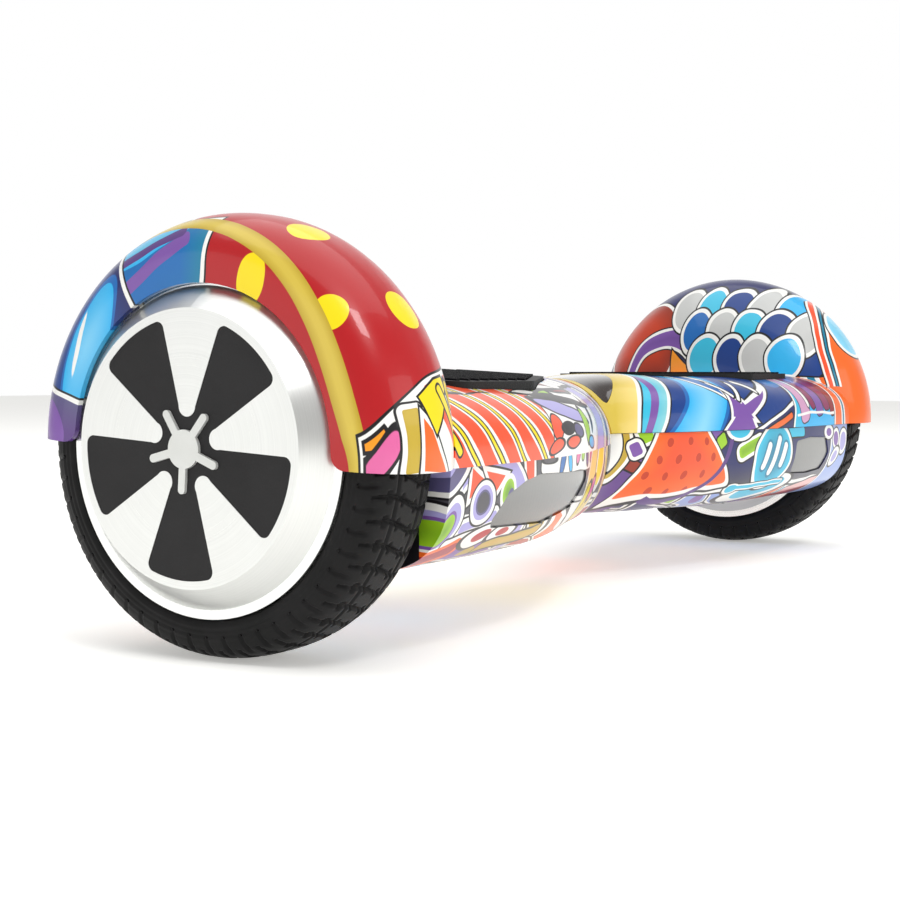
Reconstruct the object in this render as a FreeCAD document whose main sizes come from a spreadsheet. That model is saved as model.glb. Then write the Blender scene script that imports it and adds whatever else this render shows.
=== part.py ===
"""Self balancing hoverboard: two rocking halves on a centre pivot, each with a hub motor wheel.

Frame: +X along the length towards the right half, -Y to the front, +Z up.
Origin: on the ground, under the middle of the board.  All sizes are millimetres.
"""
import FreeCAD, Part
import math
import os

import Sketcher

V = FreeCAD.Vector
doc = FreeCAD.newDocument("hoverboard")

# --------------------------------------------------------------------------- driving dimensions
sheet = doc.addObject("Spreadsheet::Sheet", "dims")

DIMENSIONS = [
    # wheels
    ("tyre_radius", 82.5), ("tyre_half_width", 21), ("wheel_offset", 263), ("rim_radius", 65.7),
    ("rim_seat_radius", 63.5), ("rim_bore_radius", 60.5), ("cover_radius", 62), ("face_radius", 53.2),
    ("face_offset", 294), ("inlay_radius", 50), ("cap_height", 1.2), ("cap_radius", 7.4),
    ("cap_arm_radius", 15.4), ("cap_arm_width", 3.2), ("petal_count", 5), ("hub_turn", 0.5),
    # hub motor
    ("magnet_inner", 57), ("magnet_outer", 60.2), ("magnet_width", 11), ("magnet_length", 26),
    ("magnet_count", 30), ("slot_count", 27), ("core_length", 18), ("core_yoke", 36),
    ("tooth_width", 4.2), ("tooth_tip", 52), ("shoe_outer", 55.5), ("shoe_width", 11.4),
    ("coil_width", 7.4), ("coil_length", 24),
    # axle and bearings
    ("axle_radius", 8), ("stator_seat", 10), ("outer_journal", 7.5), ("inner_journal", 8.5),
    ("axle_bore", 3.6), ("axle_inner_end", 204), ("fit", 0.03), ("bearing_width", 7),
    ("outer_bearing_radius", 14), ("inner_bearing_radius", 15),
    # shells
    ("wall", 2.8), ("ledge", 1.5), ("seam_height", 79.8), ("seam_gap", 0.3), ("end_wall", 2.4),
    ("bulkhead", 239), ("crown_offset", 259), ("crown_radius", 91.1), ("dome_reach", 50),
    ("fender_outer", 287.8), ("fender_shoulder", 68), ("dome_power", 2.15), ("shoulder_power", 2.35), ("fender_wall", 2.5),
    ("arch_radius", 62.8), ("arch_corner", 6),
    # windows and headlights
    ("window_start", 6), ("window_reach", 34), ("window_half_width", 29),
    ("headlight_turn", 9.5), ("headlight_depth", 62),
    # foot mat
    ("mat_outer_end", 200), ("mat_inner_end", 56), ("mat_half_width", 61), ("mat_inner_half_width", 24),
    ("mat_taper", 78), ("mat_bottom", 106.8), ("mat_thickness", 4.4), ("mat_corner", 12), ("mat_clearance", 0.5),
    ("mat_travel", 1.5), ("pocket_floor", 105.1), ("floor_thickness", 2.2), ("plunger_radius", 3),
    ("rib_height", 0.9), ("rib_width", 1.6), ("rib_pitch", 8),
    # chassis and pivot
    ("pivot_height", 72), ("tube_radius", 17), ("tube_bore", 13), ("tube_half_length", 62),
    ("hub_radius", 24), ("hub_length", 54), ("bush_radius", 19), ("bush_length", 12),
    ("plate_bottom", 60), ("plate_thickness", 4), ("plate_half_width", 54), ("plate_end", 232),
    ("rail_height", 26), ("clamp_half_width", 18), ("clamp_inner", 206), ("clamp_top", 96),
    ("screw_radius", 1.8), ("boss_radius", 4.5), ("rest_pitch", 3.2),
    # electrics
    ("battery_start", 84), ("battery_length", 114), ("battery_width", 70), ("battery_height", 19.5),
    ("battery_bottom", 39.6),
    ("port_offset", 205), ("port_height", 62), ("port_face", 84.5), ("port_radius", 8.5),
    ("port_bore", 6.2), ("button_offset", 165), ("button_radius", 7.5), ("button_face", 82.5),
    ("button_travel", 1.2), ("cable_radius", 3),
]

# Stations of each half's casing, outwards from the middle: distance, half width, height of the
# widest level, top, bottom, and how square the upper and lower curves are (2 is an ellipse).
STATION_FIELDS = ("distance", "half_width", "middle", "top", "bottom", "upper_power", "lower_power")
STATIONS = [
    (1, 36.4, 72, 108.4, 35.6, 2.0, 2.0),
    (10, 38.4, 72, 108.9, 35.4, 2.05, 2.05),
    (27, 47.5, 73.5, 110, 35, 2.35, 2.35),
    (55, 60.5, 77, 111.2, 34.2, 2.75, 2.75),
    (100, 74, 80, 112, 33.4, 3.1, 3.15),
    (145, 81.5, 81, 112, 33, 3.2, 3.5),
    (190, 84.8, 81.5, 112, 33, 3.2, 3.5),
    (215, 85.4, 81.5, 112, 33, 3.2, 3.5),
    (239, 85.6, 81.5, 112, 33, 3.2, 3.5),
]

row_number = 0
for alias, value in DIMENSIONS:
    row_number += 1
    sheet.set(f"A{row_number}", alias)
    sheet.set(f"B{row_number}", str(value))
    sheet.setAlias(f"B{row_number}", alias)
for index, station in enumerate(STATIONS):
    for field, value in zip(STATION_FIELDS, station):
        row_number += 1
        alias = f"station{index}_{field}"
        sheet.set(f"A{row_number}", alias)
        sheet.set(f"B{row_number}", str(value))
        sheet.setAlias(f"B{row_number}", alias)
doc.recompute()


def dim(alias):
    """A driving dimension as a number."""
    return float(sheet.get(alias))


def amount(formula):
    """The value of a formula over the sheet, such as 'dims.wall * 2', or of a plain number."""
    return float(sheet.evalExpression(str(formula).replace("dims.", "")))


# --------------------------------------------------------------------------- building helpers
TURN_TO = {
    "X": FreeCAD.Rotation(V(0, 1, 0), 90),
    "Y": FreeCAD.Rotation(V(1, 0, 0), -90),
    "Z": FreeCAD.Rotation(),
}
pieces = {}


def bind(obj, path, formula):
    """Ties one property to the sheet, or sets it when the formula is a plain number."""
    obj.setExpression(path, str(formula))


def place(obj, at, axis="Z"):
    """Turns an object's own Z to the axis and ties its position to the sheet."""
    obj.Placement = FreeCAD.Placement(V(*[amount(a) for a in at]), TURN_TO[axis])
    for letter, formula in zip("xyz", at):
        bind(obj, f"Placement.Base.{letter}", formula)


def rod(name, radius, length, at, axis="Z"):
    obj = doc.addObject("Part::Cylinder", name)
    bind(obj, "Radius", radius)
    bind(obj, "Height", length)
    place(obj, at, axis)
    return obj


def block(name, low, high):
    """A box between two corners."""
    obj = doc.addObject("Part::Box", name)
    for side, lo, hi in zip(("Length", "Width", "Height"), low, high):
        bind(obj, side, f"({hi}) - ({lo})")
    place(obj, low)
    return obj


def cut(name, base, *tools):
    obj = doc.addObject("Part::Cut", name)
    obj.Base = base
    obj.Tool = tools[0] if len(tools) == 1 else fuse(name + "_tools", *tools)
    return obj


def fuse(name, *shapes):
    obj = doc.addObject("Part::MultiFuse", name)
    obj.Shapes = list(shapes)
    return obj


def group(name, *shapes):
    """Separate solids that belong to one sub-part."""
    obj = doc.addObject("Part::Compound", name)
    obj.Links = list(shapes)
    return obj


def feature(name, shape):
    obj = doc.addObject("Part::Feature", name)
    obj.Shape = shape
    return obj


def mirror(name, source):
    obj = doc.addObject("Part::Mirroring", name)
    obj.Source = source
    obj.Normal = V(1, 0, 0)
    obj.Base = V(0, 0, 0)
    return obj


def piece(label, obj):
    """Names a finished sub-part; the label is also its file's name."""
    obj.Label = label
    pieces[label] = obj
    return obj


def pitched(obj):
    """A left-half sub-part turned about the pivot, as the left half rests a little nose down."""
    turned_part = group(obj.Name + "_pitched", obj)
    pivot = V(0, 0, dim("pivot_height"))
    turned_part.Placement = FreeCAD.Placement(V(), FreeCAD.Rotation(V(1, 0, 0), dim("rest_pitch")), pivot)
    return turned_part


def left_piece(label, level):
    return piece(label, pitched(level))


def pair(stem, level):
    """One sub-part of the left half and its mirror image in the right half."""
    left_piece("left_" + stem, level)
    return piece("right_" + stem, mirror("right_" + stem + "_mirror", level))


def origin_plane(body, role):
    return next(f for f in body.Origin.OriginFeatures if f.Role == role)


def outline(body, name, role, corners):
    """A closed sketch of straight lines whose corners are all tied to the sheet."""
    sketch = body.newObject("Sketcher::SketchObject", name)
    sketch.AttachmentSupport = [(origin_plane(body, role), "")]
    sketch.MapMode = "FlatFace"
    values = [V(amount(a), amount(b), 0) for a, b in corners]
    count = len(values)
    for i in range(count):
        sketch.addGeometry(Part.LineSegment(values[i], values[(i + 1) % count]), False)
    for i in range(count):
        sketch.addConstraint(Sketcher.Constraint("Coincident", i, 2, (i + 1) % count, 1))
    for i, corner in enumerate(corners):
        for direction, formula, value in zip(("DistanceX", "DistanceY"), corner, values[i]):
            number = sketch.addConstraint(Sketcher.Constraint(direction, -1, 1, i, 1, value))
            bind(sketch, f"Constraints[{number}]", formula)
    return sketch


def turned(name, corners, centre_x, centre_z):
    """A body turned about an axis along X; corners are (distance along X, radius)."""
    body = doc.addObject("PartDesign::Body", name)
    sketch = outline(body, name + "_profile", "XZ_Plane", corners)
    turn = body.newObject("PartDesign::Revolution", name + "_turn")
    turn.Profile = (sketch, [""])
    turn.ReferenceAxis = (sketch, ["H_Axis"])
    turn.Angle = 360
    sketch.Visibility = False
    place(body, (centre_x, 0, centre_z))
    return body


def plate(name, corners, bottom, thickness):
    """A flat body with a straight-sided outline in plan."""
    body = doc.addObject("PartDesign::Body", name)
    sketch = outline(body, name + "_outline", "XY_Plane", corners)
    pad = body.newObject("PartDesign::Pad", name + "_pad")
    pad.Profile = (sketch, [""])
    bind(pad, "Length", thickness)
    place(body, (0, 0, bottom))
    return body


# --------------------------------------------------------------------------- wheel and hub motor
WHEEL_X = "-dims.wheel_offset"
AXLE_Z = "dims.tyre_radius"


def build_tyre():
    half = "dims.tyre_half_width"
    side = [
        (f"{half} - 4", "dims.rim_seat_radius + 0.1"),
        (f"{half} - 4", "dims.rim_radius + 0.3"),
        (f"{half} - 0.5", "dims.rim_radius + 0.3"),
        (half, "dims.rim_radius + 2.5"),
        (half, "dims.tyre_radius - 9"),
        (f"{half} - 1", "dims.tyre_radius - 4.8"),
        (f"{half} - 4", "dims.tyre_radius - 1.7"),
        (f"{half} - 9", "dims.tyre_radius - 0.3"),
    ]
    other = [(f"-({along})", radius) for along, radius in reversed(side)]
    return turned("tyre", side + [("0", "dims.tyre_radius")] + other, WHEEL_X, AXLE_Z)


def build_rim():
    half = "dims.tyre_half_width"
    side = [
        (f"{half} - 3", "dims.rim_bore_radius"),
        (f"{half} - 3", "dims.cover_radius + 0.02"),
        (half, "dims.cover_radius + 0.02"),
        (half, "dims.rim_radius"),
        (f"{half} - 3", "dims.rim_radius"),
        (f"{half} - 3.8", "dims.rim_seat_radius"),
    ]
    other = [(f"-({along})", radius) for along, radius in reversed(side)]
    return turned("wheel_rim", side + other, WHEEL_X, AXLE_Z)


def petal_outline():
    """The dark five-petal figure of the hub face: a disc less five round-nosed wedges."""
    tip_radius = 4.0
    tip_distance = 16.3
    outer_half_width = 16.1
    face = Part.Face(Part.Wire(Part.makeCircle(dim("inlay_radius"), V(), V(1, 0, 0))))
    step = 360.0 / dim("petal_count")
    reach = dim("inlay_radius") + 4
    for i in range(int(dim("petal_count"))):
        corners = [V(0, -tip_radius, tip_distance), V(0, tip_radius, tip_distance),
                   V(0, outer_half_width, reach), V(0, -outer_half_width, reach)]
        wedge = Part.Face(Part.makePolygon(corners + corners[:1]))
        nose = Part.Face(Part.Wire(Part.makeCircle(tip_radius, V(0, 0, tip_distance), V(1, 0, 0))))
        wedge = wedge.fuse(nose)
        wedge.rotate(V(), V(1, 0, 0), i * step + dim("hub_turn"))
        face = face.cut(wedge)
    return face.Faces[0]


def petal_solid(depth):
    """The petal figure as a plate behind the hub face, its outer corners rounded."""
    solid = petal_outline().extrude(V(depth, 0, 0))
    rim = dim("inlay_radius") - 0.01
    corners = [e for e in solid.Edges
               if abs(e.BoundBox.XLength - depth) < 1e-6
               and math.hypot(e.BoundBox.Center.y, e.BoundBox.Center.z) > rim]
    return solid.makeFillet(3.2, corners)


def build_hub_face():
    """The bright hub cover, its petal inlay and the star cap in the middle."""
    face = "dims.wheel_offset - dims.face_offset"
    edge = "-dims.tyre_half_width"
    blank = turned("hub_cover_blank", [
        (edge, "dims.cover_radius"), (face, "dims.face_radius"), (face, "0"),
        (f"{face} + 3.5", "0"), (f"{face} + 3.5", "dims.outer_bearing_radius + dims.fit"),
        (f"{face} + 14", "dims.outer_bearing_radius + dims.fit"), (f"{face} + 14", "18"),
        (f"{face} + 4", "18.5"), (f"{face} + 4", "dims.face_radius - 3"),
        (f"{edge} + 3", "dims.cover_radius - 4"), (f"{edge} + 3", "dims.cover_radius"),
    ], WHEEL_X, AXLE_Z)
    pocket_depth, inlay_sink = 1.2, 0.2
    centre = V(-dim("face_offset"), 0, dim("tyre_radius"))
    pocket = feature("petal_pocket", petal_solid(pocket_depth).translated(centre))
    inlay = petal_solid(pocket_depth - inlay_sink)
    inlay = feature("hub_inlay", inlay.translated(centre + V(inlay_sink, 0, 0)))
    thickness = dim("cap_height") + inlay_sink
    arm = dim("cap_arm_width")
    star = Part.makeCylinder(dim("cap_radius"), thickness, V(), V(1, 0, 0))
    for i in range(int(dim("petal_count"))):
        spoke = Part.makeBox(thickness, arm, dim("cap_arm_radius"), V(0, -arm / 2, -dim("cap_arm_radius")))
        end = Part.makeCylinder(arm / 2, thickness, V(0, 0, -dim("cap_arm_radius")), V(1, 0, 0))
        spoke = spoke.fuse(end)
        spoke.rotate(V(), V(1, 0, 0), i * 360.0 / dim("petal_count") + dim("hub_turn"))
        star = star.fuse(spoke)
    cap = star.removeSplitter().translated(centre + V(-dim("cap_height"), 0, 0))
    return cut("hub_cover", blank, pocket), inlay, feature("hub_cap", cap)


def around_axle(shape, count):
    """Copies of a shape spaced evenly round the wheel axis."""
    centre = V(0, 0, dim("tyre_radius"))
    copies = []
    for i in range(count):
        turned_copy = shape.copy()
        turned_copy.rotate(centre, V(1, 0, 0), i * 360.0 / count)
        copies.append(turned_copy)
    return copies


def radial_block(width, length, inner, outer):
    """A block above the axle, square to the wheel's radius, centred in the wheel's width."""
    low = V(-dim("wheel_offset") - length / 2, -width / 2, dim("tyre_radius") + inner)
    return Part.makeBox(length, width, outer - inner, low)


def build_motor():
    magnet = radial_block(dim("magnet_width"), dim("magnet_length"), dim("magnet_inner"), dim("magnet_outer"))
    magnets = feature("motor_magnets", Part.makeCompound(around_axle(magnet, int(dim("magnet_count")))))

    length = dim("core_length")
    slots = int(dim("slot_count"))
    start = V(-dim("wheel_offset") - length / 2, 0, dim("tyre_radius"))
    bore = dim("stator_seat") + dim("fit")
    yoke = Part.makeCylinder(dim("core_yoke"), length, start, V(1, 0, 0))
    yoke = yoke.cut(Part.makeCylinder(bore, length, start, V(1, 0, 0)))
    relief = Part.makeCylinder(4.5, length, start + V(0, 0, 22), V(1, 0, 0))
    yoke = yoke.cut(Part.makeCompound(around_axle(relief, 6)))
    tooth = radial_block(dim("tooth_width"), length, dim("core_yoke") - 1, dim("tooth_tip") + 1)
    shoe = radial_block(dim("shoe_width"), length, dim("tooth_tip"), dim("shoe_outer"))
    teeth = around_axle(tooth.fuse(shoe), slots)
    core = feature("stator_core", yoke.fuse(teeth).removeSplitter())

    coil = radial_block(dim("coil_width"), dim("coil_length"), dim("core_yoke") + 1.5, dim("tooth_tip") - 0.5)
    eye = radial_block(dim("tooth_width") + 0.1, length + 0.1, dim("core_yoke"), dim("tooth_tip"))
    windings = feature("stator_windings", Part.makeCompound(around_axle(coil.cut(eye), slots)))
    return magnets, core, windings


def build_axle():
    """A stepped hollow shaft from inside the hub cover to the chassis clamp."""
    inner = "dims.wheel_offset - dims.axle_inner_end"
    shaft = [
        ("-26.5", "dims.axle_bore"), ("-26.5", "dims.outer_journal"), ("-17", "dims.outer_journal"),
        ("-17", "dims.stator_seat - 1"), ("-9", "dims.stator_seat - 1"), ("-9", "dims.stator_seat"),
        ("9", "dims.stator_seat"), ("12.6", "dims.stator_seat"), ("12.6", "dims.inner_journal"),
        ("20.6", "dims.inner_journal"), ("20.6", "dims.axle_radius"), (inner, "dims.axle_radius"),
        (inner, "dims.axle_bore"),
    ]
    return turned("axle", shaft, WHEEL_X, AXLE_Z)


def build_bearings():
    """The two ball bearings of a wheel, each a ring with recessed shields."""
    def ring(name, start, bore, outside):
        shield = 0.5
        return turned(name, [
            (f"{start}", f"{bore} + dims.fit"), (f"{start}", f"{bore} + 1.6"),
            (f"{start} + {shield}", f"{bore} + 1.6"), (f"{start} + {shield}", f"{outside} - 1.6"),
            (f"{start}", f"{outside} - 1.6"), (f"{start}", outside),
            (f"{start} + dims.bearing_width", outside), (f"{start} + dims.bearing_width", f"{outside} - 1.6"),
            (f"{start} + dims.bearing_width - {shield}", f"{outside} - 1.6"),
            (f"{start} + dims.bearing_width - {shield}", f"{bore} + 1.6"),
            (f"{start} + dims.bearing_width", f"{bore} + 1.6"),
            (f"{start} + dims.bearing_width", f"{bore} + dims.fit"),
        ], WHEEL_X, AXLE_Z)
    outer = ring("outer_bearing", "-24.6", "dims.outer_journal", "dims.outer_bearing_radius")
    inner = ring("inner_bearing", "12.9", "dims.inner_journal", "dims.inner_bearing_radius")
    return group("wheel_bearings", outer, inner)


def build_inner_cover():
    """The motor's inboard cover with its bearing seat, and the screws that hold it."""
    edge = "dims.tyre_half_width"
    seat = "dims.inner_bearing_radius + dims.fit"
    blank = turned("inner_cover_blank", [
        (f"{edge} - 3", "dims.cover_radius"), (f"{edge} - 0.3", "dims.cover_radius"),
        (f"{edge} - 0.3", "dims.cover_radius - 4"), (f"{edge} + 1", "26"), (f"{edge} + 1", "dims.axle_radius + 1.5"),
        (f"{edge} - 0.8", "dims.axle_radius + 1.5"), (f"{edge} - 0.8", seat), ("12.4", seat), ("12.4", "18.5"),
        (f"{edge} - 2.5", "20"), (f"{edge} - 3", "dims.cover_radius - 6"),
    ], WHEEL_X, AXLE_Z)
    start = V(-dim("wheel_offset") + dim("tyre_half_width") - 2.2, 0, dim("tyre_radius") + 55)
    hole = feature("cover_screw_holes", Part.makeCompound(
        around_axle(Part.makeCylinder(2.3, 12, start + V(-6, 0, 0), V(1, 0, 0)), 6)))
    head = Part.makeCylinder(2.25, 1.8, start, V(1, 0, 0))
    recess = Part.makeCylinder(1.1, 1.2, start + V(0.8, 0, 0), V(1, 0, 0))
    screws = feature("cover_screws", Part.makeCompound(around_axle(head.cut(recess), 6)))
    return cut("inner_cover", blank, hole), screws


# --------------------------------------------------------------------------- casing
def squared_arc(half_width, height, power, angle):
    """A point of a curve between an ellipse and a box, at a polar angle."""
    c, s = math.cos(angle), math.sin(angle)
    reach = (abs(c / half_width) ** power + abs(s / height) ** power) ** (-1.0 / power)
    return reach * c, reach * s


def casing_section(index, inset, narrow, upper):
    """One closed cross-section of the casing, pulled in by the inset."""
    value = {f: dim(f"station{index}_{f}") for f in STATION_FIELDS}
    half_width = value["half_width"] - inset - narrow
    middle = value["middle"]
    height = (value["top"] - middle if upper else middle - value["bottom"]) - inset
    power = value["upper_power"] if upper else value["lower_power"]
    x = -value["distance"]
    if inset and index == 0:
        x -= dim("end_wall")
    if inset and index == len(STATIONS) - 1:
        x -= 1
    points = []
    count = 40
    for i in range(count):
        y, z = squared_arc(half_width, height, power, 2 * math.pi * i / count)
        points.append(V(x, y, middle + z))
    curve = Part.BSplineCurve()
    curve.interpolate(Points=points, PeriodicFlag=True, Parameters=list(range(count + 1)))
    return Part.Wire(curve.toShape())


def casing(inset=0.0, narrow=0.0, upper=True):
    """The casing of one half as a solid, skinned over its stations."""
    wires = [casing_section(i, inset, narrow, upper) for i in range(len(STATIONS))]
    return Part.makeLoft(wires, True, False)


def fender_blank(inset=0.0):
    """The domed fender turned about the wheel axis, before it is hollowed or trimmed."""
    crown = -dim("crown_offset")
    shoulder = dim("fender_shoulder")
    height = dim("crown_radius") - inset
    outer_reach = dim("fender_outer") - dim("crown_offset") - (dim("fender_wall") if inset else 0)
    inner_reach = dim("dome_reach") - inset
    steps = 10

    def quarter(reach, rise, base, sign, power, order):
        points = []
        for i in order:
            a, b = squared_arc(reach, rise, power, math.pi / 2 * i / steps)
            points.append(V(crown + sign * a, 0, base + b))
        return points

    outboard = quarter(outer_reach, height - shoulder, shoulder, -1, dim("shoulder_power"), range(steps + 1))
    inboard = quarter(inner_reach, height, 0, 1, dim("dome_power"), range(steps, -1, -1))
    rounds = []
    for points in (outboard, inboard):
        curve = Part.BSplineCurve()
        curve.interpolate(points)
        rounds.append(curve.toShape())
    foot = V(outboard[0].x, 0, 0)
    side = Part.makeLine(foot, outboard[0])
    axis = Part.makeLine(inboard[-1], foot)
    wire = Part.Wire([side, rounds[0], rounds[1], axis])
    solid = Part.Face(wire).revolve(V(), V(1, 0, 0), 360)
    return solid.translated(V(0, 0, dim("tyre_radius")))


def slab(x_low, x_high, z_low, z_high, half_width=120.0):
    return Part.makeBox(x_high - x_low, 2 * half_width, z_high - z_low, V(x_low, -half_width, z_low))


def mat_plan(grow, bottom, top):
    """The foot mat's outline in plan, rounded at its corners, as an upright prism."""
    outer, inner = -dim("mat_outer_end") - grow, -dim("mat_inner_end") + grow
    wide, slim = dim("mat_half_width") + grow, dim("mat_inner_half_width") + grow
    shoulder = -dim("mat_inner_end") - dim("mat_taper")
    corners = [V(outer, -wide, bottom), V(shoulder, -wide, bottom), V(inner, -slim, bottom),
               V(inner, slim, bottom), V(shoulder, wide, bottom), V(outer, wide, bottom)]
    prism = Part.Face(Part.makePolygon(corners + corners[:1])).extrude(V(0, 0, top - bottom))
    upright = [e for e in prism.Edges if abs(e.BoundBox.ZLength - (top - bottom)) < 1e-6]
    return prism.makeFillet(dim("mat_corner") + grow, upright)


# Corners of the two headlight openings on the front wall, as distance from the middle and height.
HEADLIGHTS = {
    "left": [(161, 73.5), (96, 71), (117, 56), (148, 51), (205, 53.5), (192, 66.5), (176, 71.5)],
    "right": [(156, 71.5), (154, 52.5), (180, 51.5), (200, 53), (207, 63), (201, 72.5), (176, 73.5)],
}


def middle_of(corners):
    return [sum(values) / len(values) for values in zip(*corners)]


def lens_plan(side, shrink=0.0):
    """One half's headlight opening as a prism along Y, in the left half's position."""
    corners = HEADLIGHTS[side]
    across, up = middle_of(corners)
    points = []
    for distance, z in corners:
        length = math.hypot(distance - across, z - up)
        scale = (length - shrink * 1.4) / length
        points.append(V(-across - (distance - across) * scale, -100, up + (z - up) * scale))
    prism = Part.Face(Part.makePolygon(points + points[:1])).extrude(V(0, 60, 0))
    edges = [e for e in prism.Edges if abs(e.BoundBox.YLength - 60) < 1e-6]
    return prism.makeFillet(3.0, edges)


def window_plan(grow, bottom=88.0, top=118.0):
    """The half-round indicator window near the middle of a half, as an upright prism."""
    flat = -dim("window_start") + grow
    reach, half_width = dim("window_reach") + grow, dim("window_half_width") + grow
    ellipse = Part.Ellipse(V(flat, 0, bottom), reach, half_width)
    round_side = Part.ArcOfEllipse(ellipse, math.pi / 2, 3 * math.pi / 2).toShape()
    ends = [vertex.Point for vertex in round_side.Vertexes]
    outline_wire = Part.Wire([round_side, Part.makeLine(ends[-1], ends[0])])
    prism = Part.Face(outline_wire).extrude(V(0, 0, top - bottom))
    upright = [e for e in prism.Edges if abs(e.BoundBox.ZLength - (top - bottom)) < 1e-6
               and abs(abs(e.BoundBox.Center.y) - half_width) < 1e-3]
    return prism.makeFillet(3.0, upright)


BOSSES = [(-215, 46), (-215, -46), (-150, 46), (-150, -46), (-64, 28), (-64, -28)]
PLUNGERS = [(-168, 0), (-112, 0)]
POST_BOTTOM = 33.0


def uprights(spots, radius, bottom, top):
    return [Part.makeCylinder(radius, top - bottom, V(x, y, bottom)) for x, y in spots]


def arch_corners():
    """What is trimmed to round the fender's side wall where the arch meets its lower edge."""
    radius = dim("arch_corner")
    edge = dim("arch_radius")
    low = dim("seam_height")
    start = -dim("fender_outer") - 5
    cutters = []
    for sign in (1, -1):
        corner = Part.makeBox(10, radius + 1, radius + 1, V(start, edge - 1, low - 1))
        corner = corner.cut(Part.makeCylinder(radius, 10, V(start, edge + radius, low + radius), V(1, 0, 0)))
        cutters.append(corner if sign > 0 else corner.mirror(V(), V(0, 1, 0)))
    return cutters


def build_upper_shell():
    """Platform, fender and wheel well wall in one moulding."""
    seam = dim("seam_height")
    axle_height = dim("tyre_radius")
    wall = dim("wall")
    platform = casing(upper=True)
    dome = fender_blank()
    outside = platform.fuse(dome).common(slab(-300, 0, seam, 200))

    platform_in = casing(inset=wall, upper=True)
    dome_in = fender_blank(inset=dim("wall"))
    hollow = platform_in.fuse(dome_in)
    hollow = hollow.common(slab(-300, 0, seam - 1, 200))
    shell = outside.cut(hollow)

    well_wall = hollow.common(slab(-dim("bulkhead"), -dim("bulkhead") + dim("end_wall"), seam, 200))
    floor_low = dim("pocket_floor") - dim("floor_thickness")
    pocket_rim = mat_plan(dim("mat_clearance") + 2.4, floor_low, 120).common(platform)
    plate_top = dim("plate_bottom") + dim("plate_thickness")
    bosses = Part.makeCompound(uprights(BOSSES, dim("boss_radius"), plate_top, 120))
    bosses = bosses.common(platform.fuse(dome))
    shell = shell.fuse([well_wall, pocket_rim, bosses])

    arch = Part.makeCylinder(dim("arch_radius"), 20, V(-dim("fender_outer") - 5, 0, axle_height), V(1, 0, 0))
    hole_start = V(-dim("bulkhead") - 5, 0, axle_height)
    axle_hole = Part.makeCylinder(dim("axle_radius") + 0.6, 20, hole_start, V(1, 0, 0))
    tube_hole = Part.makeCylinder(dim("hub_radius") + 1, 8, V(-7, 0, dim("pivot_height")), V(1, 0, 0))
    plungers = uprights(PLUNGERS, dim("plunger_radius") + 0.4, 90, 120)
    screws = uprights(BOSSES, dim("screw_radius") + dim("fit"), 60, 82)
    pocket = mat_plan(dim("mat_clearance"), dim("pocket_floor"), 125)
    openings = [arch, axle_hole, tube_hole, pocket, window_plan(0.25)]
    shell = shell.cut(openings + arch_corners() + plungers + screws)
    return shell.removeSplitter()


def build_lower_shell(side):
    """Belly moulding with one side's headlight opening, an end wall and screw bosses, at the left."""
    seam = dim("seam_height") - dim("seam_gap")
    below = slab(-300, 0, 0, seam)
    outside = casing(narrow=dim("ledge"), upper=False).common(below)
    hollow = casing(inset=dim("wall"), narrow=dim("ledge"), upper=False).common(slab(-300, 0, 0, seam + 1))
    shell = outside.cut(hollow)
    end = outside.common(slab(-dim("bulkhead"), -dim("bulkhead") + dim("end_wall"), 0, seam))
    bosses = Part.makeCompound(uprights(BOSSES, dim("boss_radius"), POST_BOTTOM - 2, dim("plate_bottom")))
    shell = shell.fuse([end, bosses.common(outside)])
    hole_start = V(-dim("bulkhead") - 5, 0, dim("tyre_radius"))
    axle_hole = Part.makeCylinder(dim("axle_radius") + 0.6, 20, hole_start, V(1, 0, 0))
    tube_hole = Part.makeCylinder(dim("hub_radius") + 1, 8, V(-7, 0, dim("pivot_height")), V(1, 0, 0))
    heads = uprights(BOSSES, 3.7, 20, 41)
    shanks = uprights(BOSSES, dim("screw_radius") + 0.2, 30, 62)
    ribs = [slab(x, x + 1.6, 0, 37.2, 90).common(hollow) for x in (-202, -72)]
    shell = shell.cut([axle_hole, tube_hole, lens_plan(side)] + heads + shanks).fuse(ribs)
    return shell.removeSplitter()


def skin_patch(prism, inset, thickness, upper):
    """The part of a casing's skin that lies inside a prism."""
    narrow = 0.0 if upper else dim("ledge")
    skin = casing(inset=inset, narrow=narrow, upper=upper)
    return skin.common(prism).cut(casing(inset=inset + thickness, narrow=narrow, upper=upper))


def largest(shape):
    return max(shape.Solids, key=lambda s: s.Volume)


# --------------------------------------------------------------------------- foot mat and boards
def build_mat():
    """Rubber foot mat with raised ribs on top and two plungers below."""
    bottom, thickness = dim("mat_bottom"), dim("mat_thickness")
    top = bottom + thickness
    plate_solid = mat_plan(0, bottom, top)
    inside = mat_plan(-4.0, top - 1, top + dim("rib_height"))
    ribs = []
    count = int((dim("mat_outer_end") - dim("mat_inner_end")) / dim("rib_pitch"))
    for i in range(1, count):
        x = -dim("mat_outer_end") + i * dim("rib_pitch")
        ribs.append(Part.makeBox(dim("rib_width"), 160, 4, V(x, -80, top - 0.5)))
    ribs = Part.makeCompound(ribs).common(inside)
    stems = uprights(PLUNGERS, dim("plunger_radius"), 77, bottom + 1)
    return plate_solid.fuse([ribs] + stems).removeSplitter()


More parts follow.
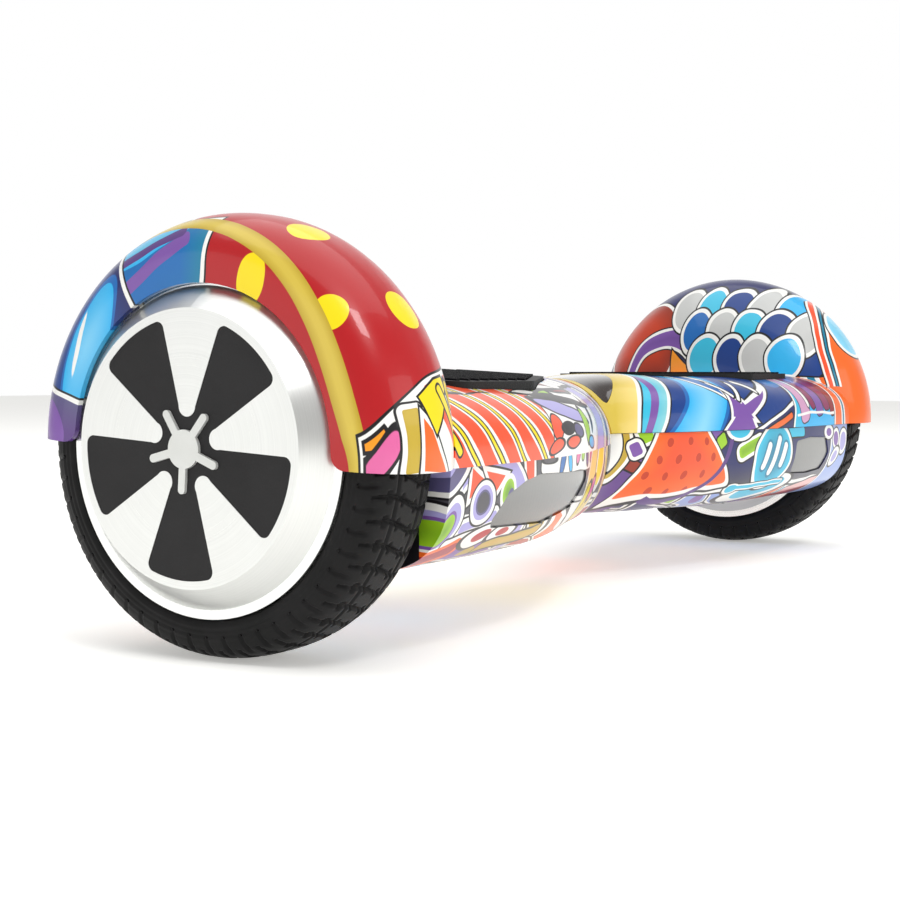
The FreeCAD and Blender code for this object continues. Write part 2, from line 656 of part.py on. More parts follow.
def build_sensor_board():
    """Gyro board on stand-offs, with a slotted light gate under each plunger."""
    top = dim("plate_bottom") + dim("plate_thickness")
    board = Part.makeBox(92, 40, 1.6, V(-186, -20, top + 5))
    legs = uprights([(-182, 16), (-182, -16), (-98, 16), (-98, -16)], 2.4, top, top + 5)
    gates = [Part.makeBox(6, 2.4, 5, V(x - 3, side, top + 6.6))
             for x, _ in PLUNGERS for side in (-6.4, 4.0)]
    chip = Part.makeBox(7, 7, 1.6, V(-143, -3.5, top + 6.6))
    return board.fuse(legs + gates + [chip]).removeSplitter()


def build_headlight_board(side):
    """Light board behind one side's lens, with a row of lamps, at the left."""
    distances = [distance for distance, _ in HEADLIGHTS[side]]
    across, up = middle_of(HEADLIGHTS[side])
    half_length = (max(distances) - min(distances)) * 0.28
    board = Part.makeBox(2 * half_length, 1.6, 12, V(-half_length, 0, -6))
    lamps = []
    x = -half_length + 5
    while x < half_length - 4:
        lamps.append(Part.makeBox(5, 1.2, 5, V(x - 2.5, -1.2, -2.5)))
        x += 9
    shape = board.fuse(lamps).removeSplitter()
    shape.rotate(V(), V(0, 0, 1), dim("headlight_turn"))
    return shape.translated(V(-across, -dim("headlight_depth"), up))


def build_motor_cable():
    """Motor lead from the hollow axle down through the chassis plate."""
    radius = dim("cable_radius")
    bend = 8.0
    start = V(-dim("axle_inner_end") + 0.3, 0, dim("tyre_radius"))
    knee, turn = V(-191, 0, start.z), V(-191, 30, start.z)
    end = V(-191, 30, dim("plate_bottom") + 0.5)
    half = bend * (1 - math.sqrt(0.5))
    edges = [
        Part.makeLine(start, knee - V(bend, 0, 0)),
        Part.Arc(knee - V(bend, 0, 0), knee + V(-half, half, 0), knee + V(0, bend, 0)).toShape(),
        Part.makeLine(knee + V(0, bend, 0), turn - V(0, bend, 0)),
        Part.Arc(turn - V(0, bend, 0), turn + V(0, -half, -half), turn - V(0, 0, bend)).toShape(),
        Part.makeLine(turn - V(0, 0, bend), end),
    ]
    section = Part.Wire(Part.makeCircle(radius, start, V(1, 0, 0)))
    return Part.Wire(edges).makePipeShell([section], True, False)


# --------------------------------------------------------------------------- chassis and pivot
def build_chassis(side, bore):
    """Cast frame of one half: plate, side rails, pivot hub and axle seat, built at the left."""
    top = "dims.plate_bottom + dims.plate_thickness"
    base = plate(f"{side}_chassis_plate", [
        ("-dims.plate_end", "-dims.plate_half_width"), ("-150", "-dims.plate_half_width"),
        ("-14", "-dims.hub_radius"), ("-14", "dims.hub_radius"),
        ("-150", "dims.plate_half_width"), ("-dims.plate_end", "dims.plate_half_width"),
    ], "dims.plate_bottom", "dims.plate_thickness")
    hub = rod(f"{side}_hub", "dims.hub_radius", "dims.hub_length - 3",
              ("-dims.hub_length", 0, "dims.pivot_height"), "X")
    rails = [block(f"{side}_rail_{name}", ("-225", low, "dims.plate_bottom + 1"),
                   ("-118", high, f"{top} + dims.rail_height"))
             for name, low, high in (("rear", "51", "dims.plate_half_width"),
                                     ("front", "-dims.plate_half_width", "-51"))]
    seat = block(f"{side}_axle_seat", ("-dims.plate_end", "-dims.clamp_half_width", "dims.plate_bottom + 1"),
                 ("-dims.clamp_inner", "dims.clamp_half_width", "dims.tyre_radius - 0.2"))
    whole = fuse(f"{side}_chassis_body", base, hub, seat, *rails)
    tools = [
        rod(f"{side}_hub_bore", bore, "dims.hub_length + 10",
            ("-dims.hub_length - 5", 0, "dims.pivot_height"), "X"),
        rod(f"{side}_ring_relief", "dims.tube_radius + 5.5", 11,
            ("-dims.hub_length - 11", 0, "dims.pivot_height"), "X"),
        rod(f"{side}_seat_bore", "dims.axle_radius + dims.fit", 60, ("-dims.plate_end - 20", 0, AXLE_Z), "X"),
        rod(f"{side}_cable_hole", "dims.cable_radius + 1", 20, (-191, 30, "dims.plate_bottom - 5")),
    ]
    for number, (x, y) in enumerate(BOSSES):
        tools.append(rod(f"{side}_plate_hole_{number}", "dims.screw_radius + 0.2", 12,
                         (x, y, "dims.plate_bottom - 3")))
    for number, (x, y) in enumerate(CLAMP_SPOTS):
        tools.append(rod(f"{side}_clamp_thread_{number}", "2 + dims.fit", 14, (x, y, 70)))
    return cut(f"{side}_chassis_solid", whole, *tools)


CLAMP_SPOTS = [(-226, 13), (-212, 13), (-226, -13), (-212, -13)]


def build_clamp():
    """Saddle over the axle, with its four screws."""
    cap = block("clamp_block", ("-dims.plate_end", "-dims.clamp_half_width", "dims.tyre_radius + 0.2"),
                ("-dims.clamp_inner", "dims.clamp_half_width", "dims.clamp_top"))
    bore = rod("clamp_bore", "dims.axle_radius + dims.fit", 60, ("-dims.plate_end - 20", 0, AXLE_Z), "X")
    holes = [rod(f"clamp_hole_{i}", "2 + dims.fit", 30, (x, y, 75)) for i, (x, y) in enumerate(CLAMP_SPOTS)]
    screws = []
    for i, (x, y) in enumerate(CLAMP_SPOTS):
        shank = rod(f"clamp_shank_{i}", 2, "dims.clamp_top - 71", (x, y, 71))
        head = rod(f"clamp_head_{i}", 3.5, 4, (x, y, "dims.clamp_top"))
        socket = doc.addObject("Part::Prism", f"clamp_socket_{i}")
        socket.Polygon = 6
        socket.Circumradius = 1.7
        socket.Height = 3
        place(socket, (x, y, "dims.clamp_top + 2"))
        screws.append(cut(f"clamp_screw_{i}", fuse(f"clamp_screw_blank_{i}", shank, head), socket))
    return cut("axle_clamp", cap, bore, *holes), group("clamp_screws", *screws)


def build_pivot():
    """Centre tube, its bushes in the right half, end rings and the pin that limits the twist."""
    half = "dims.tube_half_length"
    groove = "dims.tube_radius - 1.2"
    ring_in, ring_out = "dims.hub_length + 0.3", "dims.hub_length + 1.6"
    side = [(half, "dims.tube_bore"), (half, "dims.tube_radius"), (ring_out, "dims.tube_radius"),
            (ring_out, groove), (ring_in, groove), (ring_in, "dims.tube_radius")]
    other = [(f"-({along})", radius) for along, radius in reversed(side)]
    tube = turned("pivot_tube_blank", side + other, "0", "dims.pivot_height")
    pin_hole = rod("stop_pin_hole", 2.5, 20, (30, 0, "dims.pivot_height + 10"))
    left_piece("pivot_tube", cut("pivot_tube_solid", tube, pin_hole))
    left_piece("pivot_stop_pin", rod("stop_pin", 2.45, 14, (30, 0, "dims.pivot_height + dims.tube_bore - 1")))
    rings = []
    for name, sign in (("left", "-"), ("right", "")):
        low = f"{sign}(dims.hub_length + 0.35)" if sign == "" else "-(dims.hub_length + 1.55)"
        ring = turned(f"{name}_ring", [
            (low, f"{groove} + 0.05"), (low, "dims.tube_radius + 4"),
            (f"{low} + 1.2", "dims.tube_radius + 4"), (f"{low} + 1.2", f"{groove} + 0.05"),
        ], "0", "dims.pivot_height")
        rings.append(ring)
    left_piece("pivot_rings", group("pivot_rings_group", *rings))
    bushes = []
    for name, start in (("inner", "3.5"), ("outer", "dims.hub_length - dims.bush_length")):
        bushes.append(turned(f"{name}_bush", [
            (start, "dims.tube_radius + 0.05"), (start, "dims.bush_radius"),
            (f"{start} + dims.bush_length", "dims.bush_radius"),
            (f"{start} + dims.bush_length", "dims.tube_radius + 0.05"),
        ], "0", "dims.pivot_height"))
    piece("pivot_bushes", group("pivot_bushes_group", *bushes))


# --------------------------------------------------------------------------- electrics
def build_battery():
    end = "dims.battery_start + dims.battery_length"
    case = block("battery_case", ("dims.battery_start", "-dims.battery_width / 2", "dims.battery_bottom"),
                 (end, "dims.battery_width / 2", "dims.battery_bottom + dims.battery_height"))
    rounded = doc.addObject("Part::Fillet", "battery_rounded")
    rounded.Base = case
    doc.recompute()
    rounded.Edges = [(i + 1, 4.0, 4.0) for i, e in enumerate(case.Shape.Edges)
                     if abs(e.BoundBox.XLength - dim("battery_length")) < 1e-6]
    piece("battery_pack", rounded)
    straps = []
    for name, start in (("inner", 112), ("outer", 160)):
        outer = block(f"{name}_strap_outer", (start, "-dims.battery_width / 2 - 1.5", "dims.battery_bottom - 1.4"),
                      (start + 14, "dims.battery_width / 2 + 1.5", "dims.plate_bottom"))
        gap = block(f"{name}_strap_gap", (start - 1, "-dims.battery_width / 2 - 0.2", "dims.battery_bottom - 0.1"),
                    (start + 15, "dims.battery_width / 2 + 0.2", "dims.plate_bottom + 1"))
        straps.append(cut(f"{name}_strap", outer, gap))
    piece("battery_straps", group("battery_straps_group", *straps))


def build_main_board():
    board = block("board_plate", ("-196", "-35", "52"), ("-92", "35", "53.6"))
    chips = [block(f"capacitor_box_{i}", (x, y, "44"), (x + 14, y + 9, "52"))
             for i, (x, y) in enumerate([(-190, -30), (-190, 18), (-120, -28)])]
    cans = [rod(f"capacitor_{i}", 5, 12, (x, y, 40)) for i, (x, y) in enumerate([(-160, -22), (-160, 22)])]
    left_piece("main_board", fuse("main_board_solid", board, *(chips + cans)))
    base = block("sink_base", ("-176", "-24", "53.6"), ("-100", "24", "56.2"))
    fins = [block(f"sink_fin_{i}", ("-176", y, "56"), ("-100", y + 2.0, "dims.plate_bottom"))
            for i, y in enumerate(range(-24, 24, 8))]
    left_piece("heat_sink", fuse("heat_sink_solid", base, *fins))


def build_charge_port():
    """Round charging socket in the right half's rear wall, and its hinged rubber cap."""
    x, z, face = "dims.port_offset", "dims.port_height", "dims.port_face"
    barrel = rod("socket_barrel", "dims.port_radius", 14, (x, f"{face} - 14", z), "Y")
    flange = rod("socket_flange", "dims.port_radius + 2.5", 1.4, (x, face, z), "Y")
    bore = rod("socket_bore", "dims.port_bore", 20, (x, f"{face} - 5.3", z), "Y")
    chamber = rod("socket_chamber", "dims.port_bore - 0.6", 10, (x, f"{face} - 9.5", z), "Y")
    shell = cut("socket_shell", fuse("socket_outer", barrel, flange), bore, chamber)
    pins = []
    for i in range(3):
        angle = math.radians(90 + 120 * i)
        pins.append(rod(f"socket_pin_{i}", 0.8, 4, (f"{x} + {2.8 * math.cos(angle):.3f}", f"{face} - 10",
                                                    f"{z} + {2.8 * math.sin(angle):.3f}"), "Y"))
    piece("charge_socket", fuse("charge_socket_solid", shell, *pins))
    lid = rod("cap_lid", "dims.port_radius + 3.5", 2, (x, f"{face} + 1.7", z), "Y")
    strap = block("cap_strap", (f"{x} - 4", f"{face} + 2.0", z), (f"{x} + 4", f"{face} + 3.6", f"{z} + 14"))
    knuckle = rod("cap_knuckle", 1.4, 8, (f"{x} - 4", f"{face} + 2.8", f"{z} + 14"), "X")
    piece("charge_cap", fuse("charge_cap_solid", lid, strap, knuckle))


def build_power_button():
    x, z, face = "dims.button_offset", "dims.port_height", "dims.button_face"
    button = rod("button_blank", "dims.button_radius", 7, (x, f"{face} - 5.5", z), "Y")
    softened = doc.addObject("Part::Fillet", "button_softened")
    softened.Base = button
    doc.recompute()
    softened.Edges = [(i + 1, 0.8, 0.8) for i, e in enumerate(button.Shape.Edges)
                      if abs(e.BoundBox.YLength) < 1e-6 and e.BoundBox.YMax > amount(face)]
    piece("power_button", softened)
    back = rod("switch_back", "dims.button_radius + 2", 6.8, (x, f"{face} - 16", z), "Y")
    nose = rod("switch_nose", "dims.button_radius - 2.5", 3, (x, f"{face} - 9.9", z), "Y")
    piece("switch_body", fuse("switch_solid", back, nose))


def rear_features(shell):
    """Cuts and bosses that only the right half's belly has, at its rear wall."""
    bosses, holes = [], []
    for offset, face, boss, hole in (("port_offset", "port_face", 13.0, dim("port_radius") + 0.05),
                                     ("button_offset", "button_face", 11.0, dim("button_radius") + 0.5)):
        x, z, y = dim(offset), dim("port_height"), dim(face)
        bosses.append(Part.makeCylinder(boss, 9, V(x, y - 9, z), V(0, 1, 0)))
        holes.append(Part.makeCylinder(hole, 30, V(x, y - 20, z), V(0, 1, 0)))
    return shell.fuse(bosses).cut(holes).removeSplitter()


# --------------------------------------------------------------------------- assembly
def build_halves():
    pair("tyre", build_tyre())
    pair("wheel_rim", build_rim())
    cover, inlay, cap = build_hub_face()
    pair("hub_cover", cover)
    pair("hub_inlay", inlay)
    pair("hub_cap", cap)
    magnets, core, windings = build_motor()
    pair("motor_magnets", magnets)
    pair("stator_core", core)
    pair("stator_windings", windings)
    pair("axle", build_axle())
    pair("wheel_bearings", build_bearings())
    inner_cover, cover_screws = build_inner_cover()
    pair("inner_cover", inner_cover)
    pair("cover_screws", cover_screws)
    clamp, clamp_screws = build_clamp()
    pair("axle_clamp", clamp)
    pair("clamp_screws", clamp_screws)

    pair("upper_shell", feature("upper_shell", build_upper_shell()))
    left_piece("left_lower_shell", feature("lower_shell", build_lower_shell("left")))
    belly = build_lower_shell("right").mirror(V(), V(1, 0, 0))
    piece("right_lower_shell", feature("rear_shell", rear_features(belly)))
    for side in HEADLIGHTS:
        lens = largest(skin_patch(lens_plan(side, 0.25), 0.7, 2.4, upper=False))
        lens = feature(f"{side}_lens", lens)
        board = feature(f"{side}_light_board", build_headlight_board(side))
        if side == "left":
            left_piece("left_headlight_lens", lens)
            left_piece("left_headlight_board", board)
        else:
            piece("right_headlight_lens", mirror("right_lens_mirror", lens))
            piece("right_headlight_board", mirror("right_board_mirror", board))
    window = skin_patch(window_plan(0.0), 0.0, 2.2, upper=True)
    pair("indicator_lens", feature("indicator_lens", largest(window)))
    pair("foot_mat", feature("foot_mat", build_mat()))
    pair("sensor_board", feature("sensor_board", build_sensor_board()))
    pair("motor_cable", feature("motor_cable", build_motor_cable()))

    screws = []
    for x, y in BOSSES:
        shank = Part.makeCylinder(dim("screw_radius"), 80 - 41, V(x, y, 41))
        head = Part.makeCylinder(3.3, 3, V(x, y, 38))
        slot = Part.makeBox(4.4, 0.9, 1.2, V(x - 2.2, y - 0.45, 38))
        cross = Part.makeBox(0.9, 4.4, 1.2, V(x - 0.45, y - 2.2, 38))
        screws.append(shank.fuse(head).cut([slot, cross]).removeSplitter())
    pair("shell_screws", feature("shell_screws", Part.makeCompound(screws)))

    left_piece("left_chassis", build_chassis("left", "dims.tube_radius + dims.fit"))
    right = build_chassis("right", "dims.bush_radius + 0.02")
    slot = block("stop_slot", ("-33", "-8", "dims.pivot_height + 14"), ("-27", "8", "dims.pivot_height + 30"))
    piece("right_chassis", mirror("right_chassis_mirror", cut("right_chassis_slotted", right, slot)))


def check_and_write():
    doc.recompute()
    broken = [o.Name for o in doc.Objects if "Invalid" in o.State or "Error" in o.State]
    for label, obj in pieces.items():
        if obj.Shape.isNull() or not obj.Shape.isValid() or not obj.Shape.Solids:
            broken.append(label)
    if broken:
        raise RuntimeError("these failed: " + ", ".join(broken))
    os.makedirs("parts", exist_ok=True)
    for label, obj in pieces.items():
        obj.Shape.exportStep(os.path.join("parts", label + ".step"))
        print(f"{label:26s} solids {len(obj.Shape.Solids):3d}  volume {obj.Shape.Volume / 1000:9.2f} cm3")


build_halves()
build_pivot()
build_battery()
build_main_board()
build_charge_port()
build_power_button()
check_and_write()
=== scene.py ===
"""Looks of a self balancing hoverboard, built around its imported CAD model.

Row frame: +X along the length towards the right half, -Y to the front, +Z up, in metres.
Surface prints are laid out in millimetres of that frame.
"""
import bpy
import math
import numpy as np
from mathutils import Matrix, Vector


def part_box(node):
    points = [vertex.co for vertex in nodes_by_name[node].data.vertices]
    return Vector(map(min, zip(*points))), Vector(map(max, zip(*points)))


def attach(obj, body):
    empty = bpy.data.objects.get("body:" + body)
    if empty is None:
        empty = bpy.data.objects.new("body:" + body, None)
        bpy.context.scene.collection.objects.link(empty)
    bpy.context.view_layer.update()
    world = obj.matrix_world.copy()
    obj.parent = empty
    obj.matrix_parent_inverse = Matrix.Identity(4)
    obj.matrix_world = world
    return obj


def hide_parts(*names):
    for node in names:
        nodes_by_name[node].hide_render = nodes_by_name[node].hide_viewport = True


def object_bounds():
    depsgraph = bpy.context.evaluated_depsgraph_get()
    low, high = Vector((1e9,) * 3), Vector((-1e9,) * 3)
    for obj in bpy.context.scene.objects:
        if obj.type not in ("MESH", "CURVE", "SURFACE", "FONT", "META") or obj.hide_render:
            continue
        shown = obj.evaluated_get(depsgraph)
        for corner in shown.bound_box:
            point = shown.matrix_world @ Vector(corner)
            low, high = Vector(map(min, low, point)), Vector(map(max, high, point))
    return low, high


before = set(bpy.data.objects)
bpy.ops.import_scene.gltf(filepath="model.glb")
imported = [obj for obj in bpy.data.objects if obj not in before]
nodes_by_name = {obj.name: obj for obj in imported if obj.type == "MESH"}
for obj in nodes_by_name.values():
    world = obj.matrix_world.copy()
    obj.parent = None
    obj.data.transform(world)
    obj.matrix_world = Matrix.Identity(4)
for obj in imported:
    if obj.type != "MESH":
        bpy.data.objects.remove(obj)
cad_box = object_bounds()

MM = 0.001


def centre_of(node):
    low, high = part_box(node)
    return (low + high) / 2


wheel = {side: centre_of(f"{side}_tyre") for side in ("left", "right")}


# ------------------------------------------------------------------------------ camera, light, floor
def make_camera():
    data = bpy.data.cameras.new("camera")
    data.sensor_width = 36.0
    data.lens = 64.6
    camera = bpy.data.objects.new("camera", data)
    bpy.context.scene.collection.objects.link(camera)
    camera.location = (-0.7594, -0.4032, 0.1105)
    forward = Vector((0.8514, 0.5224, -0.0466))
    camera.rotation_mode = "QUATERNION"
    camera.rotation_quaternion = forward.to_track_quat("-Z", "Y")
    data.clip_start = 0.01
    data.clip_end = 50.0
    bpy.context.scene.camera = camera


def add_area_light(name, place, aim, size, power, colour=(1.0, 1.0, 1.0)):
    data = bpy.data.lights.new(name, "AREA")
    data.shape = "RECTANGLE"
    data.size, data.size_y = size
    data.energy = power
    data.color = colour
    light = bpy.data.objects.new(name, data)
    light.location = place
    light.rotation_mode = "QUATERNION"
    light.rotation_quaternion = (Vector(aim) - Vector(place)).to_track_quat("-Z", "Y")
    bpy.context.scene.collection.objects.link(light)


def make_studio():
    world = bpy.data.worlds.new("studio")
    world.use_nodes = True
    tree = world.node_tree
    backdrop = Vector((0.85, 0.52, 0.0)).normalized()
    facing = tree.nodes.new("ShaderNodeVectorMath")
    facing.operation = "DOT_PRODUCT"
    facing.inputs[1].default_value = backdrop
    brightness = tree.nodes.new("ShaderNodeMapRange")
    brightness.interpolation_type = "SMOOTHSTEP"
    for socket, value in (("From Min", 0.55), ("From Max", 0.86), ("To Min", 0.42), ("To Max", 1.0)):
        brightness.inputs[socket].default_value = value
    direction = tree.nodes.new("ShaderNodeTexCoord")
    background = tree.nodes["Background"]
    tree.links.new(direction.outputs["Generated"], facing.inputs[0])
    tree.links.new(facing.outputs["Value"], brightness.inputs["Value"])
    tree.links.new(brightness.outputs["Result"], background.inputs["Strength"])
    background.inputs["Color"].default_value = (1.0, 1.0, 1.0, 1.0)
    bpy.context.scene.world = world
    add_area_light("overhead", (0, 0, 2.4), (0, 0, 0), (3.2, 3.2), 44)
    add_area_light("key", (-0.75, -0.9, 1.3), (-0.25, 0, 0.15), (0.35, 0.35), 6)
    add_area_light("front", (0.1, -1.9, 0.7), (0, 0, 0.08), (1.6, 0.7), 6)
    add_area_light("face", (-2.1, 1.1, 0.35), (-0.29, 0, 0.08), (1.8, 1.5), 6.5)
    floor = bpy.data.meshes.new("floor")
    reach = 6.0
    corners = [(-reach, -reach, 0), (reach, -reach, 0), (reach, reach, 0), (-reach, reach, 0)]
    floor.from_pydata(corners, [], [(0, 1, 2, 3)])
    floor_object = bpy.data.objects.new("floor", floor)
    bpy.context.scene.collection.objects.link(floor_object)
    floor_object.location.z = cad_box[0].z - 0.0002
    shader = Shader("floor_paint")
    shader.principled({"Base Color": colour("F4F4F2"), "Roughness": 0.9,
                       "Emission Color": colour("white"), "Emission Strength": 0.4})
    floor.materials.append(shader.material)


# ------------------------------------------------------------------------------ colours
PALETTE = {
    "ink": "17161A", "white": "F3F2EE", "red": "B3141A", "deep_red": "8E0F18", "gold": "BFA12F",
    "light_gold": "D6BC4A", "yellow": "F7DC0E", "pale_yellow": "EFD478", "orange": "F26A22",
    "orange_red": "F2542A", "amber": "F79A1E", "brown": "93301B", "rust": "C23A17", "pink": "E067A2",
    "salmon": "E9AEAC", "mauve": "D29EC2", "magenta": "8A2258", "crimson": "A51F33",
    "lavender": "A9A2DA", "violet": "7C53A4", "plum": "5A3A80", "dusk": "5B5680", "slate": "4A484F",
    "navy": "1F2460", "deep_blue": "123C86", "blue": "1668B4", "sky": "2CB2EC", "pale_sky": "8ED4F2",
    "cyan": "37BEDF", "teal": "1B7FA0", "pale_teal": "86CCD4", "mist": "8FA6DE", "lime": "9ACB22",
    "leaf": "6FA01C", "silver": "C6C7C5", "grey": "8F9091",
}


def colour(name, alpha=1.0):
    """A palette name or a hexadecimal sRGB code as a linear colour."""
    code = PALETTE.get(name, name)
    channels = []
    for start in (0, 2, 4):
        value = int(code[start:start + 2], 16) / 255.0
        channels.append(value / 12.92 if value <= 0.04045 else ((value + 0.055) / 1.055) ** 2.4)
    return (*channels, alpha)


# ------------------------------------------------------------------------------ shader building
class Shader:
    """A material and short calls that add nodes to it."""

    def __init__(self, name):
        self.material = bpy.data.materials.new(name)
        self.material.use_nodes = True
        self.tree = self.material.node_tree
        self.tree.nodes.clear()

    def add(self, kind, inputs=None, **settings):
        node = self.tree.nodes.new("ShaderNode" + kind)
        for key, value in settings.items():
            setattr(node, key, value)
        for key, value in (inputs or {}).items():
            if isinstance(value, bpy.types.NodeSocket):
                self.tree.links.new(value, node.inputs[key])
            else:
                node.inputs[key].default_value = value
        return node

    def math(self, operation, *values):
        return self.add("Math", dict(enumerate(values)), operation=operation).outputs[0]

    def vector(self, operation, *values):
        node = self.add("VectorMath", dict(enumerate(values)), operation=operation)
        return node.outputs["Value" if operation in ("LENGTH", "DOT_PRODUCT", "DISTANCE") else "Vector"]

    def millimetres(self):
        """The surface point in the row frame, in millimetres."""
        point = self.add("TexCoord").outputs["Object"]
        return self.vector("MULTIPLY", point, (1000.0, 1000.0, 1000.0))

    def placed(self, point, at=(0, 0, 0), turn=(0, 0, 0), size=(1, 1, 1)):
        """The point as seen from a frame at a place, turned in degrees and scaled."""
        mapping = self.add("Mapping", {"Vector": point, "Location": at, "Scale": size,
                                       "Rotation": [math.radians(a) for a in turn]}, vector_type="TEXTURE")
        return mapping.outputs["Vector"]

    def noise(self, point, scale, detail=2.0, roughness=0.5):
        inputs = {"Vector": point, "Scale": scale, "Detail": detail, "Roughness": roughness}
        return self.add("TexNoise", inputs)

    def ramp(self, factor, stops, interpolation="LINEAR"):
        node = self.add("ValToRGB", {"Fac": factor})
        node.color_ramp.interpolation = interpolation
        elements = node.color_ramp.elements
        while len(elements) > 1:
            elements.remove(elements[-1])
        elements[0].position, elements[0].color = stops[0]
        for place, value in stops[1:]:
            elements.new(place).color = value
        return node

    def mix(self, factor, first, second):
        node = self.add("Mix", data_type="RGBA")
        for index, value in ((0, factor), (6, first), (7, second)):
            if isinstance(value, bpy.types.NodeSocket):
                self.tree.links.new(value, node.inputs[index])
            else:
                node.inputs[index].default_value = value
        return node.outputs[2]

    def between(self, value, low, high):
        """A 0..1 value spread to low..high."""
        return self.math("MULTIPLY_ADD", value, high - low, low)

    def bump(self, height, strength, distance=0.001, normal=None):
        inputs = {"Height": height, "Strength": strength, "Distance": distance}
        if normal is not None:
            inputs["Normal"] = normal
        return self.add("Bump", inputs).outputs["Normal"]

    def principled(self, inputs):
        shader = self.add("BsdfPrincipled", inputs)
        self.add("OutputMaterial", {"Surface": shader.outputs["BSDF"]})
        return shader


# ------------------------------------------------------------------------------ surface print
WHITE_INK = (("white", 1.9), ("ink", 0.9))
INK = (("ink", 1.0),)
WHITE = (("white", 1.8),)
PLAIN = ()
SPAN = 12.8          # distances from -SPAN to +SPAN millimetres are told apart


